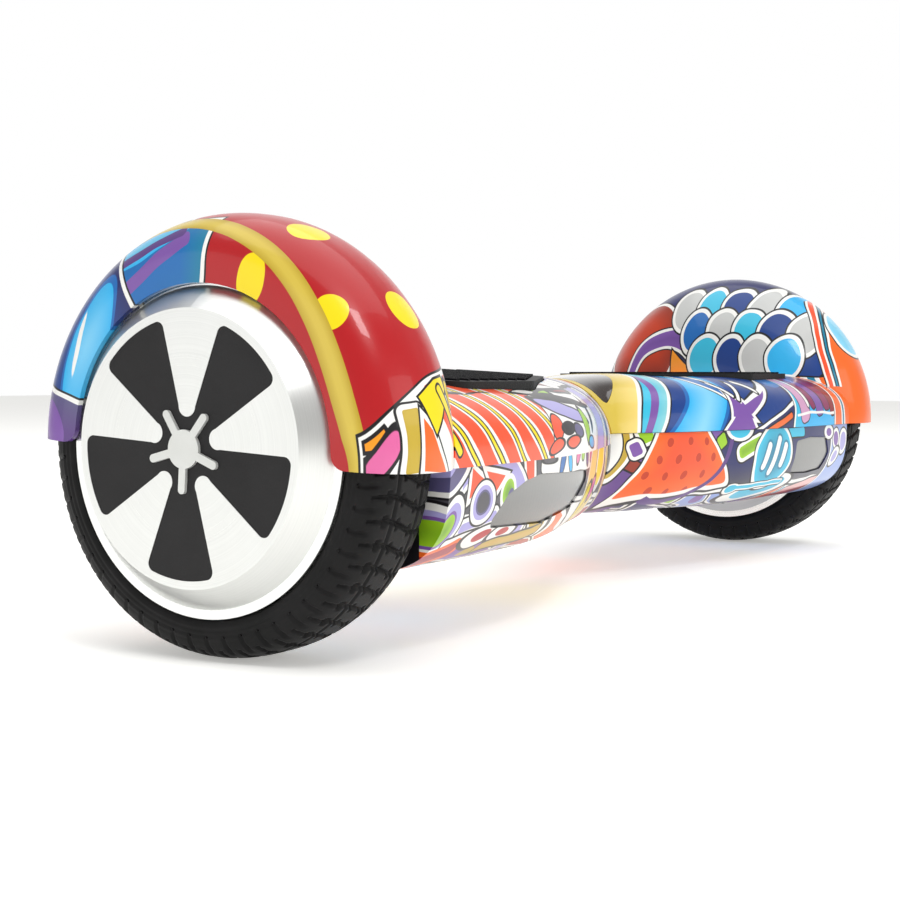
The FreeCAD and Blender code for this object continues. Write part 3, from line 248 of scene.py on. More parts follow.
class Print(Shader):
    """A glossy graphic print: outlined shapes painted one over another."""

    def __init__(self, name, base):
        super().__init__(name)
        self.true_point = self.millimetres()
        wobble = self.noise(self.true_point, 0.035, 1.0).outputs["Color"]
        wobble = self.vector("SUBTRACT", wobble, (0.5, 0.5, 0.5))
        wobble = self.vector("MULTIPLY", wobble, (5.0, 5.0, 5.0))
        self.point = self.vector("ADD", self.true_point, wobble)
        self.colour = colour(base)

    # distances in millimetres, below zero inside
    def oval(self, at, size, turn=(0, 0, 0)):
        reach = self.vector("LENGTH", self.placed(self.point, at, turn, size))
        least = min(size)
        return self.math("MULTIPLY_ADD", reach, least, -least)

    def bar(self, at, half, turn=(0, 0, 0), rounding=1.5):
        local = self.vector("ABSOLUTE", self.placed(self.point, at, turn))
        beyond = self.vector("SUBTRACT", local, [h - rounding for h in half])
        outside = self.vector("LENGTH", self.vector("MAXIMUM", beyond, (0.0, 0.0, 0.0)))
        return self.math("SUBTRACT", outside, rounding)

    def side(self, at, direction):
        """Everything on the far side of a plane, away from the direction."""
        unit = Vector(direction).normalized()
        along = self.vector("DOT_PRODUCT", self.point, unit)
        return self.math("SUBTRACT", along, unit.dot(Vector(at)))

    def band(self, distance, half_width):
        return self.math("SUBTRACT", self.math("ABSOLUTE", distance), half_width)

    def both(self, *distances):
        joined = distances[0]
        for other in distances[1:]:
            joined = self.math("MAXIMUM", joined, other)
        return joined

    def either(self, *distances):
        joined = distances[0]
        for other in distances[1:]:
            joined = self.math("MINIMUM", joined, other)
        return joined

    def less(self, distance, hole):
        return self.math("MAXIMUM", distance, self.math("MULTIPLY", hole, -1.0))

    def rounded(self, first, second, radius):
        """Where both are, with the corner between them rounded."""
        return self.math("SMOOTH_MAX", first, second, radius)

    # shapes seen from the front, alike on the front and rear walls
    def flat_oval(self, x, z, half_x, half_z, turn=0.0):
        """An oval, turned clockwise by degrees."""
        return self.oval((x, 0, z), (half_x, FLAT, half_z), (0, turn, 0))

    def flat_bar(self, x, z, half_x, half_z, turn=0.0, rounding=1.5):
        return self.bar((x, 0, z), (half_x, FLAT, half_z), (0, turn, 0), rounding)

    def flat_arc(self, x, z, radius, half_width):
        reach = self.vector("LENGTH", self.placed(self.point, (x, 0, z), size=(1, FLAT, 1)))
        return self.band(self.math("SUBTRACT", reach, radius), half_width)

    def flat_side(self, start, end):
        """Everything to the right of the way from start to end."""
        (x0, z0), (x1, z1) = start, end
        return self.side((x0, 0, z0), (z0 - z1, 0, x1 - x0))

    def flat_polygon(self, *corners):
        """A convex shape whose corners go round clockwise."""
        sides = [self.flat_side(a, b) for a, b in zip(corners, corners[1:] + corners[:1])]
        return self.both(*sides)

    def paint(self, distance, fill, edges=WHITE_INK, deep=None, depth=SPAN):
        """Lays one shape over what is painted already: fill inside, edge lines round it."""
        step = 0.5 / SPAN
        stops = [(0.5 - depth * step, colour(deep or fill)), (0.5, colour(fill))]
        at = 0.0
        last = fill
        for name, width in edges:
            stops += [(0.5 + (at + 0.12) * step, colour(name)), (0.5 + (at + width) * step, colour(name))]
            at += width
            last = name
        stops.append((0.5 + (at + 0.12) * step, colour(last, 0.0)))
        factor = self.math("MULTIPLY_ADD", distance, step, 0.5)
        layer = self.ramp(factor, stops)
        self.colour = self.mix(layer.outputs["Alpha"], self.colour, layer.outputs["Color"])

    def paint_bands(self, region, along, period, bands):
        """Fills a region with bands that repeat along a coordinate; each has a name and its share."""
        stops = []
        at = 0.0
        for name, share in bands:
            stops += [(at + 0.004, colour(name)), (at + share - 0.004, colour(name))]
            at += share
        phase = self.math("FRACT", self.math("MULTIPLY", along, 1.0 / period))
        fills = self.ramp(phase, stops).outputs["Color"]
        self.colour = self.mix(self.math("LESS_THAN", region, 0.0), self.colour, fills)

    def cells(self, names, size, turn=(0, 0, 0), stretch=(1.0, 1.0, 1.0)):
        """Paints everything with rounded outlined patches of several colours, with dots in them."""
        swirl = self.noise(self.true_point, 0.016, 1.0).outputs["Color"]
        swirl = self.vector("MULTIPLY", swirl, (46.0, 46.0, 46.0))
        local = self.placed(self.vector("ADD", self.true_point, swirl), turn=turn, size=stretch)
        patch = self.add("TexVoronoi", {"Vector": local, "Scale": 1.0 / size})
        pick = self.add("SeparateColor", {"Color": patch.outputs["Color"]})
        count = len(names)
        stops = [(i / count, colour(name)) for i, name in enumerate(names)]
        fills = self.ramp(pick.outputs[0], stops, "CONSTANT").outputs["Color"]
        dots = [(i / count, colour(names[(i + 2) % count])) for i in range(count)]
        dot = self.ramp(pick.outputs[1], dots, "CONSTANT").outputs["Color"]
        fills = self.mix(self.math("LESS_THAN", patch.outputs["Distance"], 0.22), fills, dot)
        border = self.add("TexVoronoi", {"Vector": local, "Scale": 1.0 / size}, feature="DISTANCE_TO_EDGE")
        line = self.ramp(border.outputs["Distance"], [
            (0.0, colour("ink")), (0.030, colour("ink")), (0.034, colour("white")),
            (0.085, colour("white")), (0.090, colour("white", 0.0)),
        ])
        self.colour = self.mix(line.outputs["Alpha"], fills, line.outputs["Color"])

    def finish(self):
        grain = self.noise(self.true_point, 0.9, 3.0).outputs["Fac"]
        scuffs = self.noise(self.true_point, 0.05, 4.0, 0.7).outputs["Fac"]
        self.principled({
            "Base Color": self.colour, "Roughness": self.between(scuffs, 0.24, 0.38),
            "Coat Weight": 0.35, "Coat Roughness": 0.05, "Specular IOR Level": 0.3,
            "Normal": self.bump(grain, 0.03, 0.0004),
        })
        return self.material


FLAT = 900.0         # a shape this deep along Y shows alike on the front and rear walls
PITCH = math.tan(math.radians(3.2))      # the left half rests nose down by this slope
SCALE_STEP = 17.0    # from one painted scale of the right fender to the next


def left_upper_print():
    art = Print("left_upper_print", "red")
    axle = wheel["left"] * 1000

    def rear_of(angle):
        """Behind a plane through the axle, the angle counted forwards from the top."""
        a = math.radians(angle)
        return art.side(axle, (0, -math.cos(a), -math.sin(a)))

    # rear part of the fender: teal with violet swooshes, then navy, then violet towards the bottom
    side_wall = art.side((-277, 0, 0), (1, 0, 0))
    crown = art.side((-277, 0, 0), (-1, 0, 0))
    art.paint(art.both(rear_of(-9), crown), "teal", deep="blue", depth=11)
    art.paint(art.both(rear_of(2.5), side_wall), "teal", deep="blue", depth=12)
    wall_rear = art.both(rear_of(2.5), side_wall)
    art.paint(art.both(art.oval((-284, 26, 163), (40, 26, 8), (-24, 0, 0)), wall_rear), "sky", PLAIN, deep="pale_teal")
    art.paint(art.both(art.bar((-286, 24, 150), (30, 24, 2.6), (-33, 0, 0), 2.4), wall_rear), "violet", PLAIN)
    art.paint(art.both(art.bar((-284, 26, 158), (30, 20, 1.8), (-20, 0, 0), 1.6), wall_rear), "plum", PLAIN)
    art.paint(rear_of(-31), "navy", deep="deep_blue")
    art.paint(art.oval((-284, 55, 122), (34, 9.5, 27), (24, 0, 0)), "sky", (("blue", 1.2),), deep="pale_sky")
    art.paint(art.oval((-286, 60, 123), (30, 1.3, 13), (13, 0, 0)), "white", PLAIN)
    art.paint(rear_of(-75), "dusk", deep="plum")
    art.paint(art.oval((-286, 76, 90), (20, 6, 11), (-20, 0, 0)), "violet", PLAIN)
    art.paint(art.oval((-238, 40, 150), (16, 22, 14)), "sky", deep="blue")
    art.paint(art.oval((-232, 62, 124), (14, 15, 12)), "lavender", deep="violet")
    art.paint(art.bar((-246, 72, 112), (9, 30, 4), (20, 0, 0)), "gold")

    # yellow spots on the red front half
    for place, size in (
        ((-267, -38.5, 164.5), 8.0), ((-257.5, -74.8, 134.5), 8.2), ((-285.5, -61.5, 133.8), 6.4),
        ((-226, -34, 150), 7.5), ((-222, 6, 138), 7.0),
    ):
        art.paint(art.oval(place, (size, size, size)), "yellow", PLAIN)
    art.paint(art.oval((-288, -27, 146), (8, 6.0, 10.0), (12, 0, 0)), "yellow", PLAIN)

    # a gold band winds from the crown at the rear down the side wall to the front foot:
    # its place across the section, counted over the wall and the crown, against the angle
    from_axle = art.vector("SUBTRACT", art.true_point, axle)
    radius = art.vector("LENGTH", art.vector("MULTIPLY", from_axle, (0.0, 1.0, 1.0)))
    apart = art.add("SeparateXYZ", {"Vector": from_axle})
    across = art.math("ADD", radius, art.math("ADD", apart.outputs[0], axle.x + 288))
    angle = art.math("ARCTAN2", art.math("MULTIPLY", apart.outputs[1], -1.0), apart.outputs[2])
    turn = art.math("MULTIPLY_ADD", angle, 180 / math.pi / 140, 40 / 140)
    course = art.ramp(turn, [
        ((degrees + 40) / 140, (place / 120,) * 3 + (1,)) for degrees, place in (
            (-40, 106), (-17, 101), (-4, 96), (10, 89.2), (21.5, 84.7), (33, 80), (45, 75.5), (59, 71.7),
            (74, 70.6), (86, 73.2), (94, 77))
    ], "B_SPLINE").outputs["Color"]
    off_course = art.math("MULTIPLY_ADD", course, -120.0, across)
    ends = art.both(art.side(axle, (0, math.cos(0.7), -math.sin(0.7))), art.side((-250, 0, 0), (1, 0, 0)))
    art.paint(art.both(art.band(off_course, 5.2), ends), "gold", PLAIN, deep="light_gold", depth=4)

    # the platform's front wall
    wall_start = art.both(art.flat_oval(-244.7, 62.9, 47.6, 47.6), art.side((0, -77, 0), (0, 1, 0)))
    below_top = art.side((0, 0, 111.2), (0, -PITCH, 1))
    platform_side = art.both(art.side((-251, 0, 0), (-1, 0, 0)), below_top)
    front = art.both(art.either(wall_start, platform_side), art.side((0, 0, 0), (0, 1, 0)))
    art.paint(front, "white")
    parts = art.add("SeparateXYZ", {"Vector": art.point})
    slope = art.math("MULTIPLY_ADD", parts.outputs[2], 0.9, parts.outputs[0])
    slope = art.math("ADD", slope, 168.7 + 400)
    striped = art.both(front, art.side((-259, 0, 100), (-1, 0, -0.9)))
    art.paint_bands(striped, slope, 20.0, (
        ("orange_red", 0.56), ("white", 0.09), ("ink", 0.055), ("yellow", 0.11), ("ink", 0.055), ("white", 0.13)))

    def on_front(distance):
        return art.both(distance, front)

    # pieces of the print by the fender's foot
    art.paint(on_front(art.flat_oval(-285.3, 88, 2.6, 4.6, 10)), "amber", INK)
    art.paint(on_front(art.flat_oval(-281.8, 82, 2.6, 8.8, 14)), "pink", INK)
    art.paint(on_front(art.flat_bar(-272.6, 86.2, 3.4, 11.6, -3, 0.8)), "gold", WHITE_INK, deep="light_gold", depth=3)
    art.paint(on_front(art.flat_polygon((-267, 94), (-262, 90), (-254, 75), (-267.5, 75))), "orange", WHITE_INK)
    art.paint(on_front(art.flat_polygon((-268.5, 102), (-251.5, 112), (-249, 106), (-259.5, 89))), "yellow", INK)
    art.paint(on_front(art.flat_bar(-245, 93, 1.6, 17, -38, 1.4)), "yellow", INK)
    art.paint(on_front(art.flat_oval(-244, 103, 2.6, 6, -34)), "yellow", INK)

    # towards the middle: white, lavender and lime
    art.paint(on_front(art.flat_bar(-112, 92, 40, 22, 0, 8)), "white", INK)
    for x, z, half_x, half_z, turn, fill in (
        (-131, 95.5, 22, 3.2, 12, "lavender"), (-112, 104.6, 17, 1.6, 3, "deep_red"), (-132, 103.5, 6, 1.4, 6, "lime"),
        (-118, 99.6, 17, 0.9, 6, "ink"), (-147, 88, 5.5, 5.5, 0, "orange_red"), (-135, 87.5, 6, 2.2, 0, "ink"),
        (-122, 86, 5.5, 2.6, 15, "dusk"), (-109, 88, 3.2, 7.5, -14, "lime"), (-129, 81.5, 7, 2.2, 0, "orange_red"),
        (-149, 79.5, 7.5, 2.6, -12, "orange_red"), (-101, 80.5, 5, 2.4, 10, "sky"), (-97, 93, 6, 1.6, -70, "ink"),
    ):
        art.paint(on_front(art.flat_oval(x, z, half_x, half_z, turn)), fill, (("ink", 0.8),))
    art.paint(on_front(art.flat_bar(-76, 90, 7.5, 30, 4, 4)), "lavender", (("ink", 1.0), ("white", 1.6), ("ink", 0.8)))
    art.paint(on_front(art.flat_bar(-59, 92, 4, 30, 4, 3)), "dusk", WHITE_INK)
    art.paint(on_front(art.flat_bar(-50, 94, 2.6, 30, 4, 2)), "lavender", WHITE)
    art.paint(on_front(art.flat_bar(-26, 90, 19, 40, 0, 4)), "light_gold", WHITE_INK)

    # the top of the platform, round the foot mat and over the collar
    top = art.both(art.side((-240, 0, 0), (-1, 0, 0)), art.side((0, 0, 109.6), (0, PITCH, -1)))
    art.paint(art.both(top, art.side((-52, 0, 0), (1, 0, 0))), "plum", PLAIN)
    for x, y, half_x, half_y, fill in (
        (-228, -76, 18, 7, "yellow"), (-192, -76, 14, 6, "orange"), (-152, -74, 16, 8, "dusk"),
        (-118, -66, 16, 8, "white"), (-92, -50, 12, 10, "sky"), (-225, 70, 20, 9, "violet"), (-186, 74, 16, 7, "white"),
        (-150, 70, 18, 7, "gold"), (-110, 64, 18, 8, "dusk"), (-78, 52, 13, 9, "pink"), (-68, -26, 7, 14, "lavender"),
        (-76, -42, 6, 7, "crimson"), (-60, -4, 6, 10, "pale_sky"), (-66, 24, 7, 11, "white"),
    ):
        art.paint(art.both(top, art.oval((x, y, 112), (half_x, half_y, FLAT), (0, 0, 8))), fill, WHITE_INK)
    return art.finish()


def left_lower_print():
    art = Print("left_lower_print", "slate")
    art.cells(["gold", "red", "orange", "white", "lavender", "sky", "violet"], 30, (0, 20, 10), (1.3, 0.8, 0.8))
    art.paint(art.side((0, 0, 47), (0, -0.12, -1)), "slate", WHITE_INK)

    # above the lens, and round its ends
    art.paint(art.flat_bar(-173, 72, 3.6, 16, -10), "orange_red", WHITE_INK)
    art.paint(art.flat_bar(-124, 74, 38, 6, 0, 3), "white", INK)
    for x, z, half_x, half_z, turn, fill in (
        (-153, 74, 6.5, 1.6, 0, "slate"), (-138, 73, 2.0, 5.5, 20, "blue"), (-129, 73, 2, 5.0, -20, "sky"),
        (-118, 75, 2.2, 4, 15, "pink"), (-111, 74.5, 2.0, 2.2, 0, "lime"), (-103, 74, 2.0, 4.0, -20, "plum"),
        (-94, 75, 2.2, 3.6, 20, "pink"),
    ):
        art.paint(art.flat_oval(x, z, half_x, half_z, turn), fill, (("ink", 0.7),))
    art.paint(art.flat_bar(-82, 62, 12, 26, 22, 4), "pale_yellow", WHITE_INK)
    art.paint(art.flat_oval(-93, 52, 4, 11, 50), "yellow", INK)
    art.paint(art.flat_oval(-68, 70, 7, 12, 12), "yellow", WHITE_INK)
    art.paint(art.flat_oval(-79, 57, 3.0, 6, 30), "pink", INK)
    art.paint(art.flat_bar(-33, 58, 20, 40, 0, 4), "light_gold", WHITE_INK, deep="gold")
    art.paint(art.flat_oval(-34, 58, 6, 12, 20), "orange", WHITE_INK)

    # left of the lens
    arch = art.both(art.flat_arc(-208, 40, 37, 3.6), art.flat_side((-230, 60), (-227, 84)))
    art.paint(arch, "lavender", WHITE_INK)
    art.paint(art.flat_polygon((-223, 74), (-210.5, 68), (-223, 62.5)), "orange_red", WHITE_INK)
    art.paint(art.flat_polygon((-211, 72), (-196, 69.6), (-204, 62.5)), "orange_red", WHITE_INK)
    art.paint(art.flat_oval(-244, 79.5, 18, 13.5), "dusk", WHITE_INK)
    art.paint(art.flat_oval(-247.5, 81, 14.5, 11), "lavender", PLAIN)
    art.paint(art.flat_bar(-212, 52.8, 13, 1.9, -8), "lavender", WHITE_INK)
    art.paint(art.flat_oval(-211.8, 60, 7.2, 6.6), "lavender", WHITE_INK)
    art.paint(art.flat_oval(-211.8, 60, 4.2, 3.8), "slate", (("dusk", 0.9),))
    art.paint(art.flat_oval(-192, 63, 4.6, 5.2, 20), "lime", WHITE, deep="leaf", depth=3)
    art.paint(art.flat_oval(-190, 61, 2.6, 3.6, 20), "dusk", PLAIN)
    art.paint(art.flat_oval(-235, 53, 6.6, 9.6, 26), "lavender", WHITE_INK)
    art.paint(art.flat_oval(-236.5, 51.4, 4.2, 6.8, 26), "lime", (("violet", 0.9),), deep="leaf", depth=4)

    # along the lower edge
    art.paint(art.flat_bar(-220, 45.6, 12, 2.8, -6, 2), "white", INK)
    art.paint(art.flat_bar(-230, 40, 12, 2.4, -14, 2), "crimson", (("orange", 2.0),))
    art.paint(art.flat_oval(-204, 46.6, 6.4, 2.0, -8), "red", WHITE_INK)
    art.paint(art.flat_oval(-186, 45.8, 5.4, 1.8, -8), "red", WHITE_INK)
    art.paint(art.flat_bar(-172, 42, 26, 2.0, -6, 1.8), "gold", INK, deep="amber")

    # painted shade: the end face next to the wheel, in the gap by the tyre, is painted ink black behind its front
    # corner
    art.paint(art.both(art.side((-238.4, 0, 0), (1, 0, 0)), art.side((0, -70, 0), (0, -1, 0))), "ink", PLAIN)
    return art.finish()


def right_upper_print():
    art = Print("right_upper_print", "navy")

    # the platform's front wall, from the collar outwards
    art.paint(art.side((150, 0, 0), (1, 0, 0)), "deep_blue", PLAIN)
    sky = art.rounded(art.flat_side((40.5, 81), (64, 106)), art.flat_side((90, 106), (75, 81)), 8.0)
    art.paint(sky, "sky", (("blue", 2.2), ("deep_blue", 4.0)), deep="pale_sky")
    art.paint(art.flat_polygon((70, 112), (86, 108), (84, 98), (79, 104)), "blue", WHITE_INK)
    hourglass = art.either(
        art.flat_polygon((96, 95), (108, 78), (79, 78)), art.flat_polygon((88, 99), (104, 86), (86, 87)),
        art.flat_polygon((94, 92), (123, 102), (102, 88)))
    art.paint(hourglass, "violet")
    zigzag = art.either(
        art.flat_bar(88, 102.4, 1.0, 5.6, -38, 0.9), art.flat_bar(97, 101, 1.0, 6.4, 34, 0.9),
        art.flat_bar(111, 103.5, 0.9, 5.4, -60, 0.8))
    art.paint(zigzag, "white", INK)
    art.paint(art.both(art.side((124, 0, 84), (-0.35, 0, 1)), art.side((100, 0, 0), (-1, 0, 0))), "navy")
    art.paint(art.flat_bar(132, 82.5, 16, 1.6, -18, 1.4), "orange", INK)
    art.paint(art.flat_oval(150, 108, 14, 5, 0), "blue", PLAIN)

    # drips near the wheel
    near_wheel = art.both(art.side((153, 0, 90), (-1, 0, 0.25)), art.side((0, 0, 113), (0, 0, 1)))
    art.paint(near_wheel, "cyan", WHITE_INK, deep="sky")
    for x, z, half_x, half_z, fill in (
        (163, 100, 5.5, 18, "mauve"), (175, 102, 3.6, 13, "magenta"), (184, 100, 5.0, 15, "violet"),
        (196, 104, 6.0, 15, "magenta"), (208, 102, 6.0, 16, "deep_red"), (168, 104, 1.6, 15, "white"),
    ):
        art.paint(art.both(art.flat_bar(x, z, half_x, half_z, -8, 4), near_wheel), fill, (("ink", 0.8),))
    art.paint(art.both(art.flat_bar(188, 87, 34, 0.7, 0, 0.6), near_wheel), "white", PLAIN)
    art.paint(art.both(art.side((214, 0, 90), (-1, 0, 0)), near_wheel), "orange", WHITE_INK)
    art.paint(art.flat_bar(227, 92, 1.2, 30, -6), "teal", WHITE)

    # collar: teal with purple arcs, then the yellow panel
    art.paint(art.side((33, -48, 82), (1, -0.45, -0.55)), "pale_teal", WHITE_INK, deep="cyan", depth=9)
    art.paint(art.band(art.side((34, -44, 96), (1, -0.2, -0.6)), 1.8), "violet", PLAIN)
    art.paint(art.side((19, -41.7, 82), (1, -0.873, -0.3515)), "pale_yellow", WHITE_INK, deep="light_gold")

    # the fender, rear to front
    dome = art.both(art.side((206, 0, 113), (-1, 0, -0.15)), art.side((0, 0, 110.5), (0, 0, -1)))

    def on_dome(distance):
        return art.both(distance, dome)

    art.paint(dome, "navy", INK)
    art.paint(on_dome(art.oval((222, -44, 122), (30, 34, 18))), "deep_blue", INK)
    art.paint(on_dome(art.oval((226, 52, 128), (34, 30, 33))), "brown", WHITE_INK, deep="rust")
    arch = art.less(art.oval((214, 26, 106), (40, 35, 34)), art.oval((214, 30, 104), (40, 25, 25)))
    art.paint(on_dome(arch), "violet", WHITE_INK, deep="plum")
    art.paint(on_dome(art.both(art.side((0, 24, 128), (0, 0.55, 1)), art.side((0, 15, 118), (0, -0.8, 1)),
                               art.side((0, 25, 0), (0, 1, 0)))), "amber", INK)
    # plain round scales in rows, each row over the one above
    for z, first_y, fills in (
        (152, 18, ("silver", "cyan", "deep_blue", "silver", "sky")),
        (137, 9, ("blue", "silver", "cyan", "deep_blue", "silver")),
        (121, 2, ("cyan", "deep_blue", "silver", "sky")),
    ):
        for number, fill in enumerate(fills):
            scale = art.oval((228, first_y - SCALE_STEP * number, z), (40, 9.5, 13), (6, 0, 0))
            art.paint(on_dome(scale), fill, WHITE_INK)

    # stripes down the front of the fender, then an orange field and a sky blue one
    front_half = art.both(art.side((0, -46, 140), (0, 1, 0.25)), art.side((0, 0, 103), (0, 0, -1)))
    lean = art.vector("DOT_PRODUCT", art.point, (0.306, -0.916, 0.259))
    stops = []
    names = (("ink", 164.0, 164.7), ("white", 164.8, 165.9), ("orange_red", 166.0, 168.4), ("white", 168.5, 169.6),
             ("ink", 169.7, 170.3), ("teal", 170.4, 171.4), ("ink", 171.5, 172.1), ("white", 172.2, 173.4),
             ("orange", 173.5, 190.0))
    for name, low, high in names:
        stops += [((low - 160) / 32, colour(name)), ((high - 160) / 32, colour(name))]
    fills = art.ramp(art.math("MULTIPLY_ADD", lean, 1 / 32, -160 / 32), stops).outputs["Color"]
    there = art.math("MULTIPLY", art.math("GREATER_THAN", lean, 164.0), art.math("LESS_THAN", front_half, 0.0))
    art.colour = art.mix(there, art.colour, fills)
    art.paint(art.both(art.oval((264, -86, 146), (24, 24, 24)), front_half), "pale_sky", WHITE_INK, deep="cyan")

    # side wall and rear of the fender
    for place, size, fill in (
        ((284, -62, 120), (9, 18, 16), "sky"), ((286, 10, 160), (9, 22, 12), "orange_red"),
        ((286, 58, 122), (9, 16, 20), "lime"), ((262, 74, 116), (14, 16, 16), "cyan"),
        ((270, 50, 154), (12, 14, 12), "yellow"), ((250, 84, 100), (16, 14, 10), "orange"),
    ):
        art.paint(art.oval(place, size), fill, WHITE_INK)
    return art.finish()


def right_lower_print():
    art = Print("right_lower_print", "navy")
    art.cells(["navy", "cyan", "violet", "orange", "mist", "lime", "salmon"], 32, (0, -15, 30), (1.2, 0.8, 0.8))
    art.paint(art.side((0, 0, 41), (0, -0.1, -1)), "slate", WHITE_INK, deep="navy")

    # between the orange blob and the lens
    art.paint(art.flat_bar(74, 76, 5, 5, 0), "violet", INK)
    art.paint(art.flat_bar(78.5, 73.5, 3.6, 3.6, -28), "lime", INK)
    art.paint(art.flat_bar(104, 69.5, 11, 3.2, -22, 2.5), "lime", WHITE_INK, deep="leaf", depth=4)
    art.paint(art.flat_oval(94, 81, 9.5, 6.4), "cyan", WHITE_INK)
    art.paint(art.flat_bar(150, 77, 16, 2.4, 0), "cyan", INK)
    art.paint(art.flat_oval(130, 45, 22, 5, -6), "cyan", WHITE_INK, deep="teal")
    art.paint(art.flat_oval(129, 63.5, 20, 17.5, -18), "cyan", WHITE_INK, deep="teal")
    for x, half_z in ((120, 8), (130, 12), (140, 8)):
        art.paint(art.flat_bar(x, 64, 2.2, half_z, 22, 2), "white", (("teal", 1.4),))
    key = art.either(art.flat_oval(99, 46.5, 4.6, 2.2), art.flat_bar(124, 47.2, 24, 0.9, 0, 0.8))
    art.paint(key, "cyan", (("white", 0.8), ("ink", 0.6)))
    art.paint(art.flat_bar(204, 45, 36, 2.6, -6, 2), "salmon", INK)
    art.paint(art.flat_bar(196, 40.5, 50, 1.6, -6, 1.2), "crimson", PLAIN)

    # the collar: quarter rings, quads and stripes
    art.paint(art.flat_bar(10, 58, 15, 30, 0, 3), "plum", PLAIN, deep="violet")
    art.paint(art.flat_bar(13, 65, 9, 3.0, 30), "brown", INK)
    art.paint(art.flat_oval(1, 80, 14.5, 23), "gold", WHITE_INK)
    art.paint(art.flat_oval(0, 79, 10.5, 18), "white", INK, deep="silver")
    art.paint(art.flat_bar(24.5, 79, 3.6, 3.8, -20), "lime", WHITE_INK)
    art.paint(art.flat_bar(18.5, 71.5, 3.2, 3.6, -24), "violet", WHITE_INK)

    # an orange field with rows of darker spots, and a violet sweep over it
    blob = art.rounded(art.flat_side((16, 45), (33, 82)), art.flat_side((66, 79), (94, 45)), 7.0)
    blob = art.rounded(blob, art.side((0, 0, 37.5), (0, -0.2, -1)), 5.0)
    art.paint(blob, "orange", WHITE_INK, deep="orange_red")
    for row, z in enumerate((74, 65, 56, 47)):
        for column in range(4):
            spot = art.flat_oval(26 + 13 * column + 6.5 * (row % 2), z, 1.9, 2.3)
            art.paint(art.both(spot, blob), "rust", PLAIN)
    sweep = art.both(art.flat_arc(47, 82, 41, 1.5), art.flat_side((32, 40), (60, 80)),
                     art.side((0, 0, 74), (0, 0, 1)))
    art.paint(sweep, "plum", PLAIN)

    # beyond the lens
    art.paint(art.side((211, 0, 66), (-1, 0, 0.1)), "mist", WHITE_INK)
    art.paint(art.flat_oval(219, 71, 4.4, 4.6), "violet", WHITE_INK)
    art.paint(art.flat_oval(232, 69, 4.6, 5.5, 15), "lavender", WHITE_INK)
    art.paint(art.flat_oval(219, 60, 5, 2.8, -30), "lavender", WHITE_INK)
    art.paint(art.flat_oval(206, 76, 4.4, 2.4), "violet", WHITE_INK)
    return art.finish()


# ------------------------------------------------------------------------------ plain materials
def spun_metal(name, tone, roughness, centre, ring_scale, metallic=1.0, contrast=0.1):
    """Turned metal whose fine grooves run round the wheel's axis."""
    shader = Shader(name)
    point = shader.millimetres()
    local = shader.vector("SUBTRACT", point, [c * 1000 for c in centre])
    flat = shader.vector("MULTIPLY", local, (0.0, 1.0, 1.0))
    radius = shader.vector("LENGTH", flat)
    along = shader.add("SeparateXYZ", {"Vector": local}).outputs[0]
    rings = shader.add("CombineXYZ", {0: radius, 1: along, 2: 0.0}).outputs[0]
    lines = shader.noise(rings, ring_scale, 3.0, 0.7).outputs["Fac"]
    patches = shader.noise(local, 0.05, 3.0).outputs["Fac"]
    shade = shader.ramp(lines, [(0.3, colour(tone)), (0.7, tuple(c * (1 - contrast) for c in colour(tone)[:3]) + (1,))])
    shader.principled({
        "Base Color": shader.mix(shader.math("MULTIPLY", patches, 0.18), shade.outputs["Color"], colour("FFFFFF")),
        "Metallic": metallic, "Roughness": shader.between(lines, roughness - 0.07, roughness + 0.07),
        "Normal": shader.bump(lines, 0.10, 0.0003),
    })
    return shader.material


def moulded(name, tone, roughness, grain_scale=1.6, grain=0.25, second=None, metallic=0.0, coat=0.0):
    """Moulded plastic, rubber or cast metal with an even grain and slight patches of tone."""
    shader = Shader(name)
    point = shader.millimetres()
    fine = shader.noise(point, grain_scale, 4.0, 0.6).outputs["Fac"]
    broad = shader.noise(point, 0.04, 3.0).outputs["Fac"]
    shade = shader.ramp(broad, [(0.35, colour(tone)), (0.7, colour(second or tone))])
    shader.principled({
        "Base Color": shade.outputs["Color"], "Metallic": metallic, "Coat Weight": coat, "Coat Roughness": 0.05,
        "Specular IOR Level": 0.25,
        "Roughness": shader.between(fine, roughness - 0.08, roughness + 0.08),
        "Normal": shader.bump(fine, grain, 0.0004),
    })
    return shader.material


def smoked_lens(name, tone, second, roughness=0.16):
    """Tinted plastic over a dark reflector, with fine upright flutes, its colour painted darker towards the bottom as
    painted shade.
    """
    shader = Shader(name)
    point = shader.millimetres()
    across = shader.add("SeparateXYZ", {"Vector": point})
    flutes = shader.math("SINE", shader.math("MULTIPLY", across.outputs[0], 2.1))
    # painted shade: the lens colour runs from the darker tone at the bottom to the lighter tone at the top
    shade_by_height = shader.math("MULTIPLY_ADD", across.outputs[2], 0.035, -1.6)
    shade = shader.ramp(shade_by_height, [(0.1, colour(second)), (0.9, colour(tone))]).outputs["Color"]
    specks = shader.noise(point, 0.6, 3.0).outputs["Fac"]
    shader.principled({
        "Base Color": shade, "Roughness": shader.between(specks, roughness - 0.05, roughness + 0.06),
        "Coat Weight": 1.0, "Coat Roughness": 0.03, "Specular IOR Level": 0.5,
        "Normal": shader.bump(flutes, 0.008, 0.0004),
    })
    return shader.material


